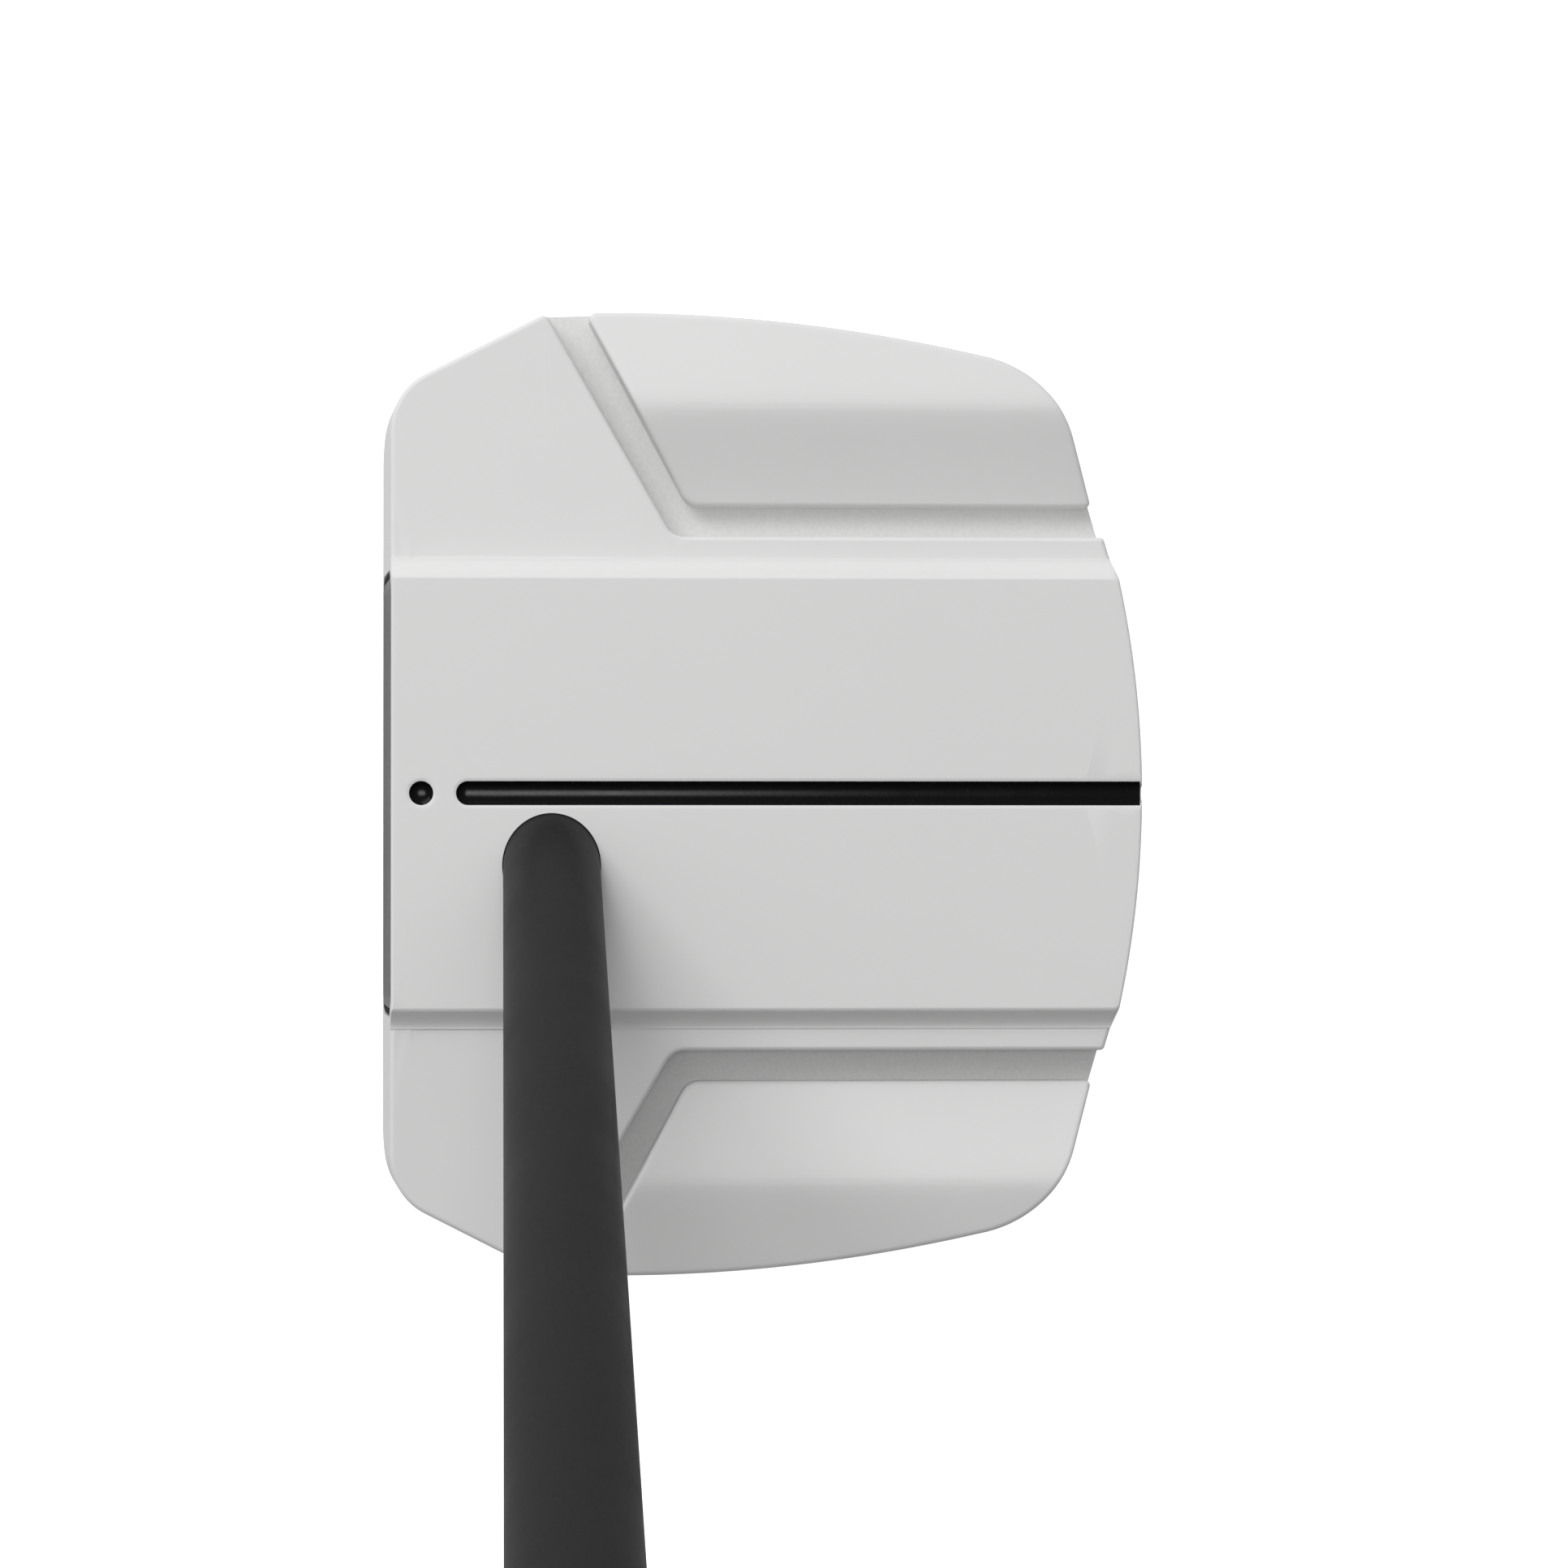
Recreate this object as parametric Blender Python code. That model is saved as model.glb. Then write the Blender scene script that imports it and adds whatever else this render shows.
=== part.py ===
"""Mallet putter: a painted aluminium head, a tapered steel shaft and a wrapped grip.

Frame: metres, +Z up.  The origin is the middle of the flat of the sole, on the ground.
The face looks along -Y, the toe is at -X, and the shaft leans towards the player at +X.
"""
import math

import bmesh
import bpy
import numpy as np

MM = 0.001

# ---------------------------------------------------------------- clearances
GAP = 0.3 * MM              # between two pieces that touch
GLUE_GAP = 0.2 * MM         # either side of a glue line or a tape

# ---------------------------------------------------------------- head, seen from above
HEAD_WIDTH = 95.4 * MM      # heel to toe
HEAD_DEPTH = 75.2 * MM      # leading edge to the back of the centre plate
WIDEST_FROM_FACE = 24.0 * MM
SIDE_RADIUS = 176.0 * MM    # bow of the wings' outer edges
FRONT_CORNER_RADIUS = 6.5 * MM
FACET_LENGTH = 15.9 * MM    # how far back the slanted front corner runs
FACET_ANGLE = math.radians(26.4)
BACK_CORNER_RADIUS = 12.0 * MM
BACK_CORNER_IN = 5.5 * MM   # corner of the wing, in from the widest line
BACK_CORNER_UP = 8.55 * MM  # and forward of the back of the head
PLATE_WIDTH = 42.7 * MM     # the centre plate is as wide as a golf ball
PLATE_BACK_RADIUS = 100.0 * MM
PLATE_BACK_STEP = 0.12 * MM  # the plate stands behind the shoulders by this much

# ---------------------------------------------------------------- head, heights
HEAD_HEIGHT = 25.0 * MM     # top of the centre plate
PLATE_STEP = 1.8 * MM       # from the plate down to the shoulders
PLATE_STEP_WIDTH = 1.3 * MM
SHOULDER_SLOPE = 0.055      # fall per unit of width, outwards
GROOVE_DEPTH = 5.8 * MM     # from the shoulder's top to the groove's floor
WING_DROP = 3.0 * MM        # wing's inner edge, below the shoulder's top
WING_CREST_RISE = 3.3 * MM  # crest, above the wing's inner edge
WING_CREST_IN = 9.4 * MM    # crest line, in from the widest line
WING_OUTER_FALL = 2.6 * MM  # outer edge, below the crest
WING_CREST_BLEND = 2.0 * MM # half width of the rounded crest
BILGE_HEIGHT = 8.5 * MM     # the side walls curve under below this height
BILGE_SIDE = 10.0 * MM
BILGE_BACK = 7.0 * MM
LEADING_EDGE_HEIGHT = 3.0 * MM
LEADING_EDGE_ROUND = 1.8 * MM
LOFT = math.radians(3.0)    # the face leans back by this much

# ---------------------------------------------------------------- grooves between body and wings
SHOULDER_WIDTH = 4.05 * MM  # from the plate's edge to the groove's inner wall
GROOVE_WIDTH = 3.1 * MM
GROOVE_MOUTH_FROM_FACE = 16.3 * MM
GROOVE_MOUTH_WIDTH = 3.9 * MM
GROOVE_BEND_FROM_FACE = 28.9 * MM
GROOVE_BEND_RADIUS = 2.0 * MM

# ---------------------------------------------------------------- sight marks
LINE_WIDTH = 2.4 * MM
LINE_START_FROM_FACE = 7.5 * MM
DOT_DIAMETER = 2.4 * MM
DOT_FROM_FACE = 4.1 * MM
FILL_SUNK = 0.35 * MM       # top of the black fill, below the plate

# ---------------------------------------------------------------- face insert
INSERT_END_MARGIN = 0.15 * MM   # each end of the insert, inside the plate's edge lines
INSERT_TOP_MARGIN = 2.3 * MM    # measured down from the top of the head
INSERT_FOOT_MARGIN = 4.1 * MM   # measured up from the ground
INSERT_THICKNESS = 4.0 * MM
INSERT_CORNER = 2.5 * MM
GASKET_WALL = 0.6 * MM
PAD_THICKNESS = 0.6 * MM
PAD_MARGIN = 2.0 * MM

# ---------------------------------------------------------------- sole and what is inside
SOLE_PLATE_TO_WEIGHT = 2.5 * MM
SOLE_PLATE_TO_BACK = 8.2 * MM
SOLE_PLATE_BEHIND_SHAFT = 8.1 * MM
SOLE_PLATE_THICKNESS = 2.6 * MM
SOLE_PLATE_CORNER = 6.0 * MM
SOLE_LEDGE = 7.0 * MM       # width of the ledge that the plate is screwed to
POCKET_ROOF = 4.2 * MM      # metal left above the pocket, below the shoulder's top
FOAM_HEIGHT = 9.0 * MM
SCREW_DIAMETER = 3.0 * MM
SCREW_HEAD_DIAMETER = 5.2 * MM
SCREW_HEAD_HEIGHT = 1.5 * MM
SCREW_LENGTH = 8.0 * MM
SCREW_EDGE = 3.6 * MM       # screw centre, in from the plate's edge
KEY_DIAMETER = 2.0 * MM
KEY_DEPTH = 0.8 * MM
WEIGHT_DIAMETER = 13.0 * MM
WEIGHT_HEIGHT = 6.5 * MM
WEIGHT_IN = 13.5 * MM       # weight's centre, in from the widest line
WEIGHT_TO_BACK = 30.2 * MM
WEIGHT_RECESS = 0.9 * MM
WEIGHT_KEY_WIDTH = 4.0 * MM
WEIGHT_KEY_DEPTH = 2.5 * MM
WASHER_THICKNESS = 0.8 * MM
WASHER_WALL = 2.0 * MM

# ---------------------------------------------------------------- shaft and grip
LIE = math.radians(70.0)    # angle between the shaft and the ground
CLUB_LENGTH = 889.0 * MM    # along the shaft, ground to the end of the grip
LINE_TO_SHAFT = 0.85 * MM   # plate left between the sight line and the shaft, at the crown
SHAFT_FROM_FACE = 16.9 * MM
SHAFT_TIP_DIAMETER = 9.4 * MM
SHAFT_TAPER = 0.0066        # diameter gained per unit of length
SHAFT_WALL = 0.45 * MM
SHAFT_TIP_HEIGHT = 5.5 * MM # lowest point of the tip's axis, above the ground
BOND_WALL = 0.3 * MM
TIP_PLUG_LENGTH = 12.0 * MM
GRIP_LENGTH = 267.0 * MM
GRIP_CAP_THICKNESS = 4.0 * MM
GRIP_CAP_SPIGOT = 8.0 * MM
GRIP_CAP_SPIGOT_DIAMETER = 9.0 * MM
GRIP_VENT_DIAMETER = 2.0 * MM
GRIP_COLLAR_LENGTH = 7.0 * MM
GRIP_COLLAR_LIP = 1.4 * MM
GRIP_SKIN_THICKNESS = 1.8 * MM
GRIP_TAPE_THICKNESS = 0.3 * MM
GRIP_SIDE_LOW = 3.5 * MM    # cover over the shaft at the lower end
GRIP_SIDE_HIGH = 5.4 * MM   # and at the upper end
GRIP_FLAT_LOW = 3.3 * MM    # cover under the thumb flat
GRIP_FLAT_HIGH = 4.4 * MM
GRIP_BELLY_LOW = 3.9 * MM   # cover on the rounded underside
GRIP_BELLY_HIGH = 7.4 * MM
FLAT_SQUARENESS = 0.55      # below 1 the ring's outline is fuller than an ellipse
SIDE_SQUARENESS = 0.9

# ---------------------------------------------------------------- mesh fineness
ROUND_SIDES = 32
SMALL_SIDES = 20
HEXAGON = 6
ARC_STEPS = 6
SIDE_STEPS = 9
GRIP_STATIONS = 11
BILGE_STEPS = 6
SHARP_ANGLE = math.radians(35.0)
OVERSHOOT = 3.0 * MM        # how far a cutter reaches past what it cuts

# ---------------------------------------------------------------- places worked out from the sizes
FACE_Y = -HEAD_DEPTH / 2
BACK_Y = FACE_Y + HEAD_DEPTH
HALF_WIDTH = HEAD_WIDTH / 2
PLATE_HALF = PLATE_WIDTH / 2
SHOULDER_TOP = HEAD_HEIGHT - PLATE_STEP
GROOVE_FLOOR = SHOULDER_TOP - GROOVE_DEPTH
WING_INNER_TOP = SHOULDER_TOP - WING_DROP
GROOVE_INNER = PLATE_HALF + SHOULDER_WIDTH
GROOVE_OUTER = GROOVE_INNER + GROOVE_WIDTH
INSERT_LENGTH = PLATE_WIDTH - 2 * INSERT_END_MARGIN
INSERT_HEIGHT = HEAD_HEIGHT - INSERT_TOP_MARGIN - INSERT_FOOT_MARGIN
INSERT_MID_HEIGHT = INSERT_FOOT_MARGIN + INSERT_HEIGHT / 2
SHAFT_Y = FACE_Y + SHAFT_FROM_FACE
WEIGHT_X = HALF_WIDTH - WEIGHT_IN
WEIGHT_Y = BACK_Y - WEIGHT_TO_BACK
SOLE_PLATE_WIDTH = 2 * (WEIGHT_X - WEIGHT_DIAMETER / 2 - SOLE_PLATE_TO_WEIGHT)
SOLE_PLATE_FRONT = SHAFT_Y + SOLE_PLATE_BEHIND_SHAFT
SOLE_PLATE_LENGTH = BACK_Y - SOLE_PLATE_TO_BACK - SOLE_PLATE_FRONT


def shaft_radius(along):
    """Outside radius of the shaft at a distance from the ground along its axis."""
    tip = SHAFT_TIP_HEIGHT / math.sin(LIE)
    return (SHAFT_TIP_DIAMETER + SHAFT_TAPER * max(0.0, along - tip)) / 2


def shaft_crown_x():
    """Where the shaft's axis meets the crown: just clear of the sight line."""
    crown_radius = shaft_radius(HEAD_HEIGHT / math.sin(LIE)) / math.sin(LIE)
    return LINE_WIDTH / 2 + LINE_TO_SHAFT + crown_radius


# ---------------------------------------------------------------- shared helpers
def clear_scene():
    """Remove every object, so that the script starts from nothing."""
    for item in list(bpy.data.objects):
        bpy.data.objects.remove(item, do_unlink=True)


def principled(name, color, roughness, metallic):
    """A plain Principled material with one colour."""
    finish = bpy.data.materials.new(name)
    finish.use_nodes = True
    shader = finish.node_tree.nodes["Principled BSDF"]
    shader.inputs["Base Color"].default_value = (*color, 1.0)
    shader.inputs["Roughness"].default_value = roughness
    shader.inputs["Metallic"].default_value = metallic
    return finish


def add_mesh(name, vertices, faces, finish=None, parent=None, is_round=False):
    """One object from corner points and faces; round pieces are shaded smooth."""
    mesh = bpy.data.meshes.new(name)
    mesh.from_pydata([tuple(point) for point in vertices], [], faces)
    mesh.validate()
    shape = bmesh.new()
    shape.from_mesh(mesh)
    bmesh.ops.recalc_face_normals(shape, faces=shape.faces)
    shape.to_mesh(mesh)
    shape.free()
    if is_round:
        mesh.shade_smooth()
        mesh.set_sharp_from_angle(angle=SHARP_ANGLE)
    item = bpy.data.objects.new(name, mesh)
    bpy.context.scene.collection.objects.link(item)
    item.parent = parent
    if finish is not None:
        mesh.materials.append(finish)
    return item


def stack_rings(rings):
    """Corner points and faces of the solid skinned over closed rings, with flat ends."""
    count = len(rings[0])
    points = [point for ring in rings for point in ring]
    faces = [tuple(reversed(range(count)))]
    for level in range(len(rings) - 1):
        low = level * count
        high = low + count
        for side in range(count):
            other = (side + 1) % count
            faces.append((low + side, low + other, high + other, high + side))
    last = (len(rings) - 1) * count
    faces.append(tuple(range(last, last + count)))
    return points, faces


def loop_rings(rings):
    """Like stack_rings, but the last ring joins the first: a wall around a hole."""
    count = len(rings[0])
    points = [point for ring in rings for point in ring]
    faces = []
    for level in range(len(rings)):
        low = level * count
        high = ((level + 1) % len(rings)) * count
        for side in range(count):
            other = (side + 1) % count
            faces.append((low + side, low + other, high + other, high + side))
    return points, faces


def prism(name, outline, low, high, finish=None, parent=None):
    """A flat outline in X and Y, extruded from one height to another."""
    rings = [[(x, y, z) for x, y in outline] for z in (low, high)]
    points, faces = stack_rings(rings)
    return add_mesh(name, points, faces, finish, parent)


def extruded_section(name, section, start, end, finish=None, parent=None):
    """A flat section in X and Z, extruded along Y."""
    rings = [[(x, y, z) for x, z in section] for y in (start, end)]
    points, faces = stack_rings(rings)
    return add_mesh(name, points, faces, finish, parent)


def circle(radius, height, sides=ROUND_SIDES):
    """The corners of a level circle around Z."""
    angles = np.arange(sides) * 2 * math.pi / sides
    return [(radius * math.cos(a), radius * math.sin(a), height) for a in angles]


def turned_solid(name, profile, sides=ROUND_SIDES, finish=None, parent=None):
    """A solid turned about Z from (radius, height) pairs, ending in flats."""
    points, faces = stack_rings([circle(radius, height, sides) for radius, height in profile])
    return add_mesh(name, points, faces, finish, parent, is_round=True)


def turned_ring(name, profile, sides=ROUND_SIDES, finish=None, parent=None):
    """A ring turned about Z from a closed list of (radius, height) pairs."""
    points, faces = loop_rings([circle(radius, height, sides) for radius, height in profile])
    return add_mesh(name, points, faces, finish, parent, is_round=True)


def round_corner(before, corner, after, radius, steps=ARC_STEPS):
    """The points of the arc that rounds one corner of an outline."""
    corner = np.array(corner)
    towards = [np.array(before) - corner, np.array(after) - corner]
    towards = [arm / np.linalg.norm(arm) for arm in towards]
    half = math.acos(float(np.clip(towards[0] @ towards[1], -1.0, 1.0))) / 2
    middle = (towards[0] + towards[1]) / np.linalg.norm(towards[0] + towards[1])
    centre = corner + middle * radius / math.sin(half)
    ends = [corner + arm * radius / math.tan(half) - centre for arm in towards]
    first = math.atan2(ends[0][1], ends[0][0])
    turn = math.atan2(ends[1][1], ends[1][0]) - first
    turn = (turn + math.pi) % (2 * math.pi) - math.pi
    angles = first + turn * np.linspace(0.0, 1.0, steps + 1)
    return [(centre[0] + radius * math.cos(a), centre[1] + radius * math.sin(a)) for a in angles]


def rounded_rectangle(width, length, radius, middle=(0.0, 0.0)):
    """A rectangle with four equal round corners, around a middle point."""
    across, along = width / 2, length / 2
    corners = [(across, -along), (across, along), (-across, along), (-across, -along)]
    outline = []
    for index, corner in enumerate(corners):
        outline += round_corner(corners[index - 1], corner, corners[(index + 1) % 4], radius)
    return [(x + middle[0], y + middle[1]) for x, y in outline]


def mirrored(half):
    """A closed outline from its +X half, whose ends may lie on the centre line."""
    return half + [(-x, y) for x, y in reversed(half) if x > 0]


def as_cutter(item):
    """Mark an object as a tool that only shapes others."""
    item.hide_render = True
    item.display_type = "WIRE"
    return item


def combine(target, tool, operation="DIFFERENCE"):
    """Shape the target with another object, by an exact Boolean."""
    as_cutter(tool)
    step = target.modifiers.new(operation.lower() + "_" + tool.name, "BOOLEAN")
    step.operation = operation
    step.solver = "EXACT"
    step.object = tool


def flipped(outline, side):
    """The outline as it is for the heel (side 1), or its mirror for the toe (side -1)."""
    if side > 0:
        return outline
    return [(-x, y) for x, y in reversed(outline)]


# ---------------------------------------------------------------- head outlines
def side_x(y):
    """Half width of the head at a depth: a shallow bow, widest at WIDEST_FROM_FACE."""
    return HALF_WIDTH - (y - FACE_Y - WIDEST_FROM_FACE) ** 2 / (2 * SIDE_RADIUS)


def plate_back_y(x):
    """The back edge of the centre plate, an arc about a point on the centre line."""
    return BACK_Y - PLATE_BACK_RADIUS + math.sqrt(PLATE_BACK_RADIUS ** 2 - x ** 2)


def back_corner():
    """The point where the wing's side and the back line would meet if left sharp."""
    return (HALF_WIDTH - BACK_CORNER_IN, BACK_Y - BACK_CORNER_UP)


def back_line_y(x):
    """The straight back edge of the shoulder and wing, from the plate to the back corner."""
    corner_x, corner_y = back_corner()
    inner_y = plate_back_y(PLATE_HALF) - PLATE_BACK_STEP
    share = (x - PLATE_HALF) / (corner_x - PLATE_HALF)
    return inner_y + share * (corner_y - inner_y)


def front_half():
    """Outline from the middle of the face, round the front corner, to the groove's mouth."""
    facet_end_y = FACE_Y + FACET_LENGTH
    facet_end = (side_x(facet_end_y), facet_end_y)
    corner = (facet_end[0] - FACET_LENGTH * math.tan(FACET_ANGLE), FACE_Y)
    middle = (0.0, FACE_Y)
    return [middle] + round_corner(middle, corner, facet_end, FRONT_CORNER_RADIUS) + [facet_end]


def side_and_back_corner(start_y):
    """The wing's outer edge from a depth to the end of its rounded back corner."""
    corner = back_corner()
    plate_end = (PLATE_HALF, back_line_y(PLATE_HALF))
    aim = (HALF_WIDTH, BACK_Y - HEAD_DEPTH / 2)
    arc = round_corner(aim, corner, plate_end, BACK_CORNER_RADIUS)
    depths = np.linspace(start_y, arc[0][1], SIDE_STEPS + 1)[:-1]
    offset = arc[0][0] - side_x(arc[0][1])
    shares = (depths - start_y) / (arc[0][1] - start_y)
    return [(side_x(y) + offset * s ** 2, float(y)) for y, s in zip(depths, shares)] + arc


def head_outline():
    """The whole head seen from above, as one closed outline."""
    half = front_half() + side_and_back_corner(FACE_Y + GROOVE_MOUTH_FROM_FACE + 2 * GROOVE_MOUTH_WIDTH)
    half.append((PLATE_HALF + PLATE_BACK_STEP, back_line_y(PLATE_HALF + PLATE_BACK_STEP)))
    across = np.linspace(PLATE_HALF, 0.0, SIDE_STEPS + 1)
    half += [(float(x), plate_back_y(float(x))) for x in across]
    return mirrored(half)


def groove_edge(inner_x, mouth_from_face, bend_from_face):
    """One wall line of the groove: from outside the side, round the bend, past the back."""
    mouth = (side_x(FACE_Y + mouth_from_face), FACE_Y + mouth_from_face)
    bend = (inner_x, FACE_Y + bend_from_face)
    reach = OVERSHOOT / (mouth[0] - bend[0])
    outside = (mouth[0] + reach * (mouth[0] - bend[0]), mouth[1] + reach * (mouth[1] - bend[1]))
    past_back = (inner_x, BACK_Y + OVERSHOOT)
    return [outside] + round_corner(outside, bend, past_back, GROOVE_BEND_RADIUS) + [past_back]


def body_groove_edge():
    """The groove's wall line on the body's side."""
    return groove_edge(GROOVE_INNER, GROOVE_MOUTH_FROM_FACE, GROOVE_BEND_FROM_FACE)


def wing_groove_edge():
    """The groove's wall line on the wing's side."""
    bend = GROOVE_BEND_FROM_FACE + GROOVE_WIDTH / 2
    return groove_edge(GROOVE_OUTER, GROOVE_MOUTH_FROM_FACE + GROOVE_MOUTH_WIDTH, bend)


def wing_top(x):
    """Height of a wing's top at a distance from the centre line: a ridge with a round crest."""
    crest_x = HALF_WIDTH - WING_CREST_IN
    inner_slope = WING_CREST_RISE / (crest_x - GROOVE_OUTER)
    outer_slope = WING_OUTER_FALL / (HALF_WIDTH - crest_x)
    crest = WING_INNER_TOP + WING_CREST_RISE
    inside = crest - inner_slope * (crest_x - x)
    outside = crest - outer_slope * (x - crest_x)
    blend = max(0.0, 1.0 - abs(x - crest_x) / WING_CREST_BLEND)
    sag = (inner_slope + outer_slope) * WING_CREST_BLEND / 4 * blend ** 2
    return min(inside, outside) - sag


def bilge(height, full_height, inset):
    """How far in a wall has curved at a height: a quarter ellipse, none above full_height."""
    rest = max(0.0, 1.0 - height / full_height)
    return inset * (1.0 - math.sqrt(1.0 - rest ** 2))


# ---------------------------------------------------------------- head
def head_blank(finish):
    """The head before machining: its outline carried up, curving in towards the sole."""
    outline = head_outline()
    low = 1.0 - np.cos(np.linspace(0.0, math.pi / 2, BILGE_STEPS + 1))
    heights = sorted(set([BILGE_HEIGHT * h for h in low] + [LEADING_EDGE_HEIGHT]))
    heights.append(HEAD_HEIGHT + OVERSHOOT)
    rings = []
    for z in heights:
        across = 1.0 - bilge(z, BILGE_HEIGHT, BILGE_SIDE) / HALF_WIDTH
        back = bilge(z, BILGE_HEIGHT, BILGE_BACK)
        front = bilge(z, LEADING_EDGE_HEIGHT, LEADING_EDGE_ROUND)
        along = 1.0 - (front + back) / HEAD_DEPTH
        rings.append([(x * across, FACE_Y + front + (y - FACE_Y) * along, z) for x, y in outline])
    points, faces = stack_rings(rings)
    return add_mesh("head_body", points, faces, finish)


def crown_cutter():
    """Everything above the centre plate, its steps and the falling shoulders."""
    foot = PLATE_HALF + PLATE_STEP_WIDTH
    edge = HALF_WIDTH + OVERSHOOT
    edge_z = SHOULDER_TOP - SHOULDER_SLOPE * (edge - foot)
    top = HEAD_HEIGHT + 2 * OVERSHOOT
    right = [(PLATE_HALF, HEAD_HEIGHT), (foot, SHOULDER_TOP), (edge, edge_z), (edge, top)]
    section = right + [(-x, z) for x, z in reversed(right)]
    return extruded_section("crown_cutter", section, FACE_Y - OVERSHOOT, BACK_Y + OVERSHOOT)


def groove_cutter(side, name):
    """The air of one groove: the band between its two wall lines."""
    outline = flipped(wing_groove_edge() + list(reversed(body_groove_edge())), side)
    return prism(name, outline, GROOVE_FLOOR, HEAD_HEIGHT + 2 * OVERSHOOT)


def wing_cutter(side, name):
    """The air above one wing, bounded inside by a line along the middle of the groove."""
    walls = zip(body_groove_edge(), wing_groove_edge())
    middle = [((a[0] + b[0]) / 2, (a[1] + b[1]) / 2) for a, b in walls]
    beyond = HALF_WIDTH + 2 * OVERSHOOT
    region = middle + [(beyond, BACK_Y + OVERSHOOT), (beyond, middle[0][1])]
    plan = prism(name + "_plan", flipped(region, side), GROOVE_FLOOR, HEAD_HEIGHT + 2 * OVERSHOOT)
    crest_x = HALF_WIDTH - WING_CREST_IN
    blend = [crest_x + WING_CREST_BLEND * step for step in (-1.0, -0.5, 0.0, 0.5, 1.0)]
    across = [GROOVE_INNER - OVERSHOOT] + blend + [beyond + OVERSHOOT]
    top = HEAD_HEIGHT + 3 * OVERSHOOT
    section = [(x, wing_top(x)) for x in across] + [(across[-1], top), (across[0], top)]
    roof = extruded_section(name, flipped(section, side), FACE_Y, BACK_Y + 2 * OVERSHOOT)
    combine(roof, plan, "INTERSECT")
    return roof


def face_cutter(face_frame):
    """Everything in front of the lofted face."""
    front = -4 * OVERSHOOT
    box = [(-HEAD_WIDTH, front), (HEAD_WIDTH, front), (HEAD_WIDTH, 0.0), (-HEAD_WIDTH, 0.0)]
    return prism("face_cutter", box, -2 * HEAD_HEIGHT, 2 * HEAD_HEIGHT, parent=face_frame)


def face_box(name, length, height, radius, near, far, finish=None, parent=None):
    """A rounded block that lies flat against the face, between two depths behind it."""
    section = rounded_rectangle(length, height, radius)
    return extruded_section(name, section, near, far, finish, parent)


def capsule_along_y(name, radius, start, end, height, finish=None):
    """A round bar along Y with a ball nose at its start and a flat end."""
    angles = np.linspace(math.radians(8), math.pi / 2, ARC_STEPS)
    profile = [(radius * math.sin(a), start + radius - radius * math.cos(a)) for a in angles]
    profile.append((radius, end))
    rings = []
    for ring_radius, y in profile:
        rings.append([(x, y, height + z) for x, z, _ in circle(ring_radius, 0.0, SMALL_SIDES)])
    points, faces = stack_rings(rings)
    return add_mesh(name, points, faces, finish)


def ball(name, radius, middle, finish=None):
    """A faceted ball with small flat poles."""
    angles = np.linspace(math.radians(-82), math.radians(82), 2 * ARC_STEPS - 1)
    profile = [(radius * math.cos(a), radius * math.sin(a)) for a in angles]
    item = turned_solid(name, profile, SMALL_SIDES, finish)
    item.location = middle
    return item


def flat_top_cutter(name, height):
    """Everything above a height, over the whole head."""
    across, along = HEAD_WIDTH, HEAD_DEPTH
    box = [(-across, -along), (across, -along), (across, along), (-across, along)]
    return prism(name, box, height, height + HEAD_HEIGHT)


def sole_plate_middle():
    """Centre of the sole plate, seen from above."""
    return (0.0, SOLE_PLATE_FRONT + SOLE_PLATE_LENGTH / 2)


def pocket_size():
    """Width and length of the pocket inside the ledge."""
    return SOLE_PLATE_WIDTH - 2 * SOLE_LEDGE, SOLE_PLATE_LENGTH - 2 * SOLE_LEDGE


def screw_places():
    """Names and centres of the four sole screws."""
    middle_x, middle_y = sole_plate_middle()
    across = SOLE_PLATE_WIDTH / 2 - SCREW_EDGE
    along = SOLE_PLATE_LENGTH / 2 - SCREW_EDGE
    places = []
    for row, sign_y in (("front", -1), ("back", 1)):
        for end, sign_x in (("toe", -1), ("heel", 1)):
            places.append((row + "_" + end, (middle_x + sign_x * across, middle_y + sign_y * along)))
    return places


def weight_places():
    """Names and centres of the two screw-in weights."""
    return [("toe", (-WEIGHT_X, WEIGHT_Y)), ("heel", (WEIGHT_X, WEIGHT_Y))]


def build_sight_marks(head, finish):
    """The line and the dot: round-bottomed grooves in the plate, each with a black fill."""
    line_start = FACE_Y + LINE_START_FROM_FACE
    dot_middle = (0.0, FACE_Y + DOT_FROM_FACE, HEAD_HEIGHT)
    line_end = BACK_Y + OVERSHOOT
    line_cut = capsule_along_y("line_cutter", LINE_WIDTH / 2, line_start, line_end, HEAD_HEIGHT)
    combine(head, line_cut)
    combine(head, ball("dot_cutter", DOT_DIAMETER / 2, dot_middle))
    level = flat_top_cutter("fill_level_cutter", HEAD_HEIGHT - FILL_SUNK)
    line = capsule_along_y(
        "sight_line_fill", LINE_WIDTH / 2 - GAP, line_start + GAP, BACK_Y - GAP, HEAD_HEIGHT, finish)
    dot = ball("sight_dot_fill", DOT_DIAMETER / 2 - GAP, dot_middle, finish)
    combine(line, level)
    combine(dot, level)


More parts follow.
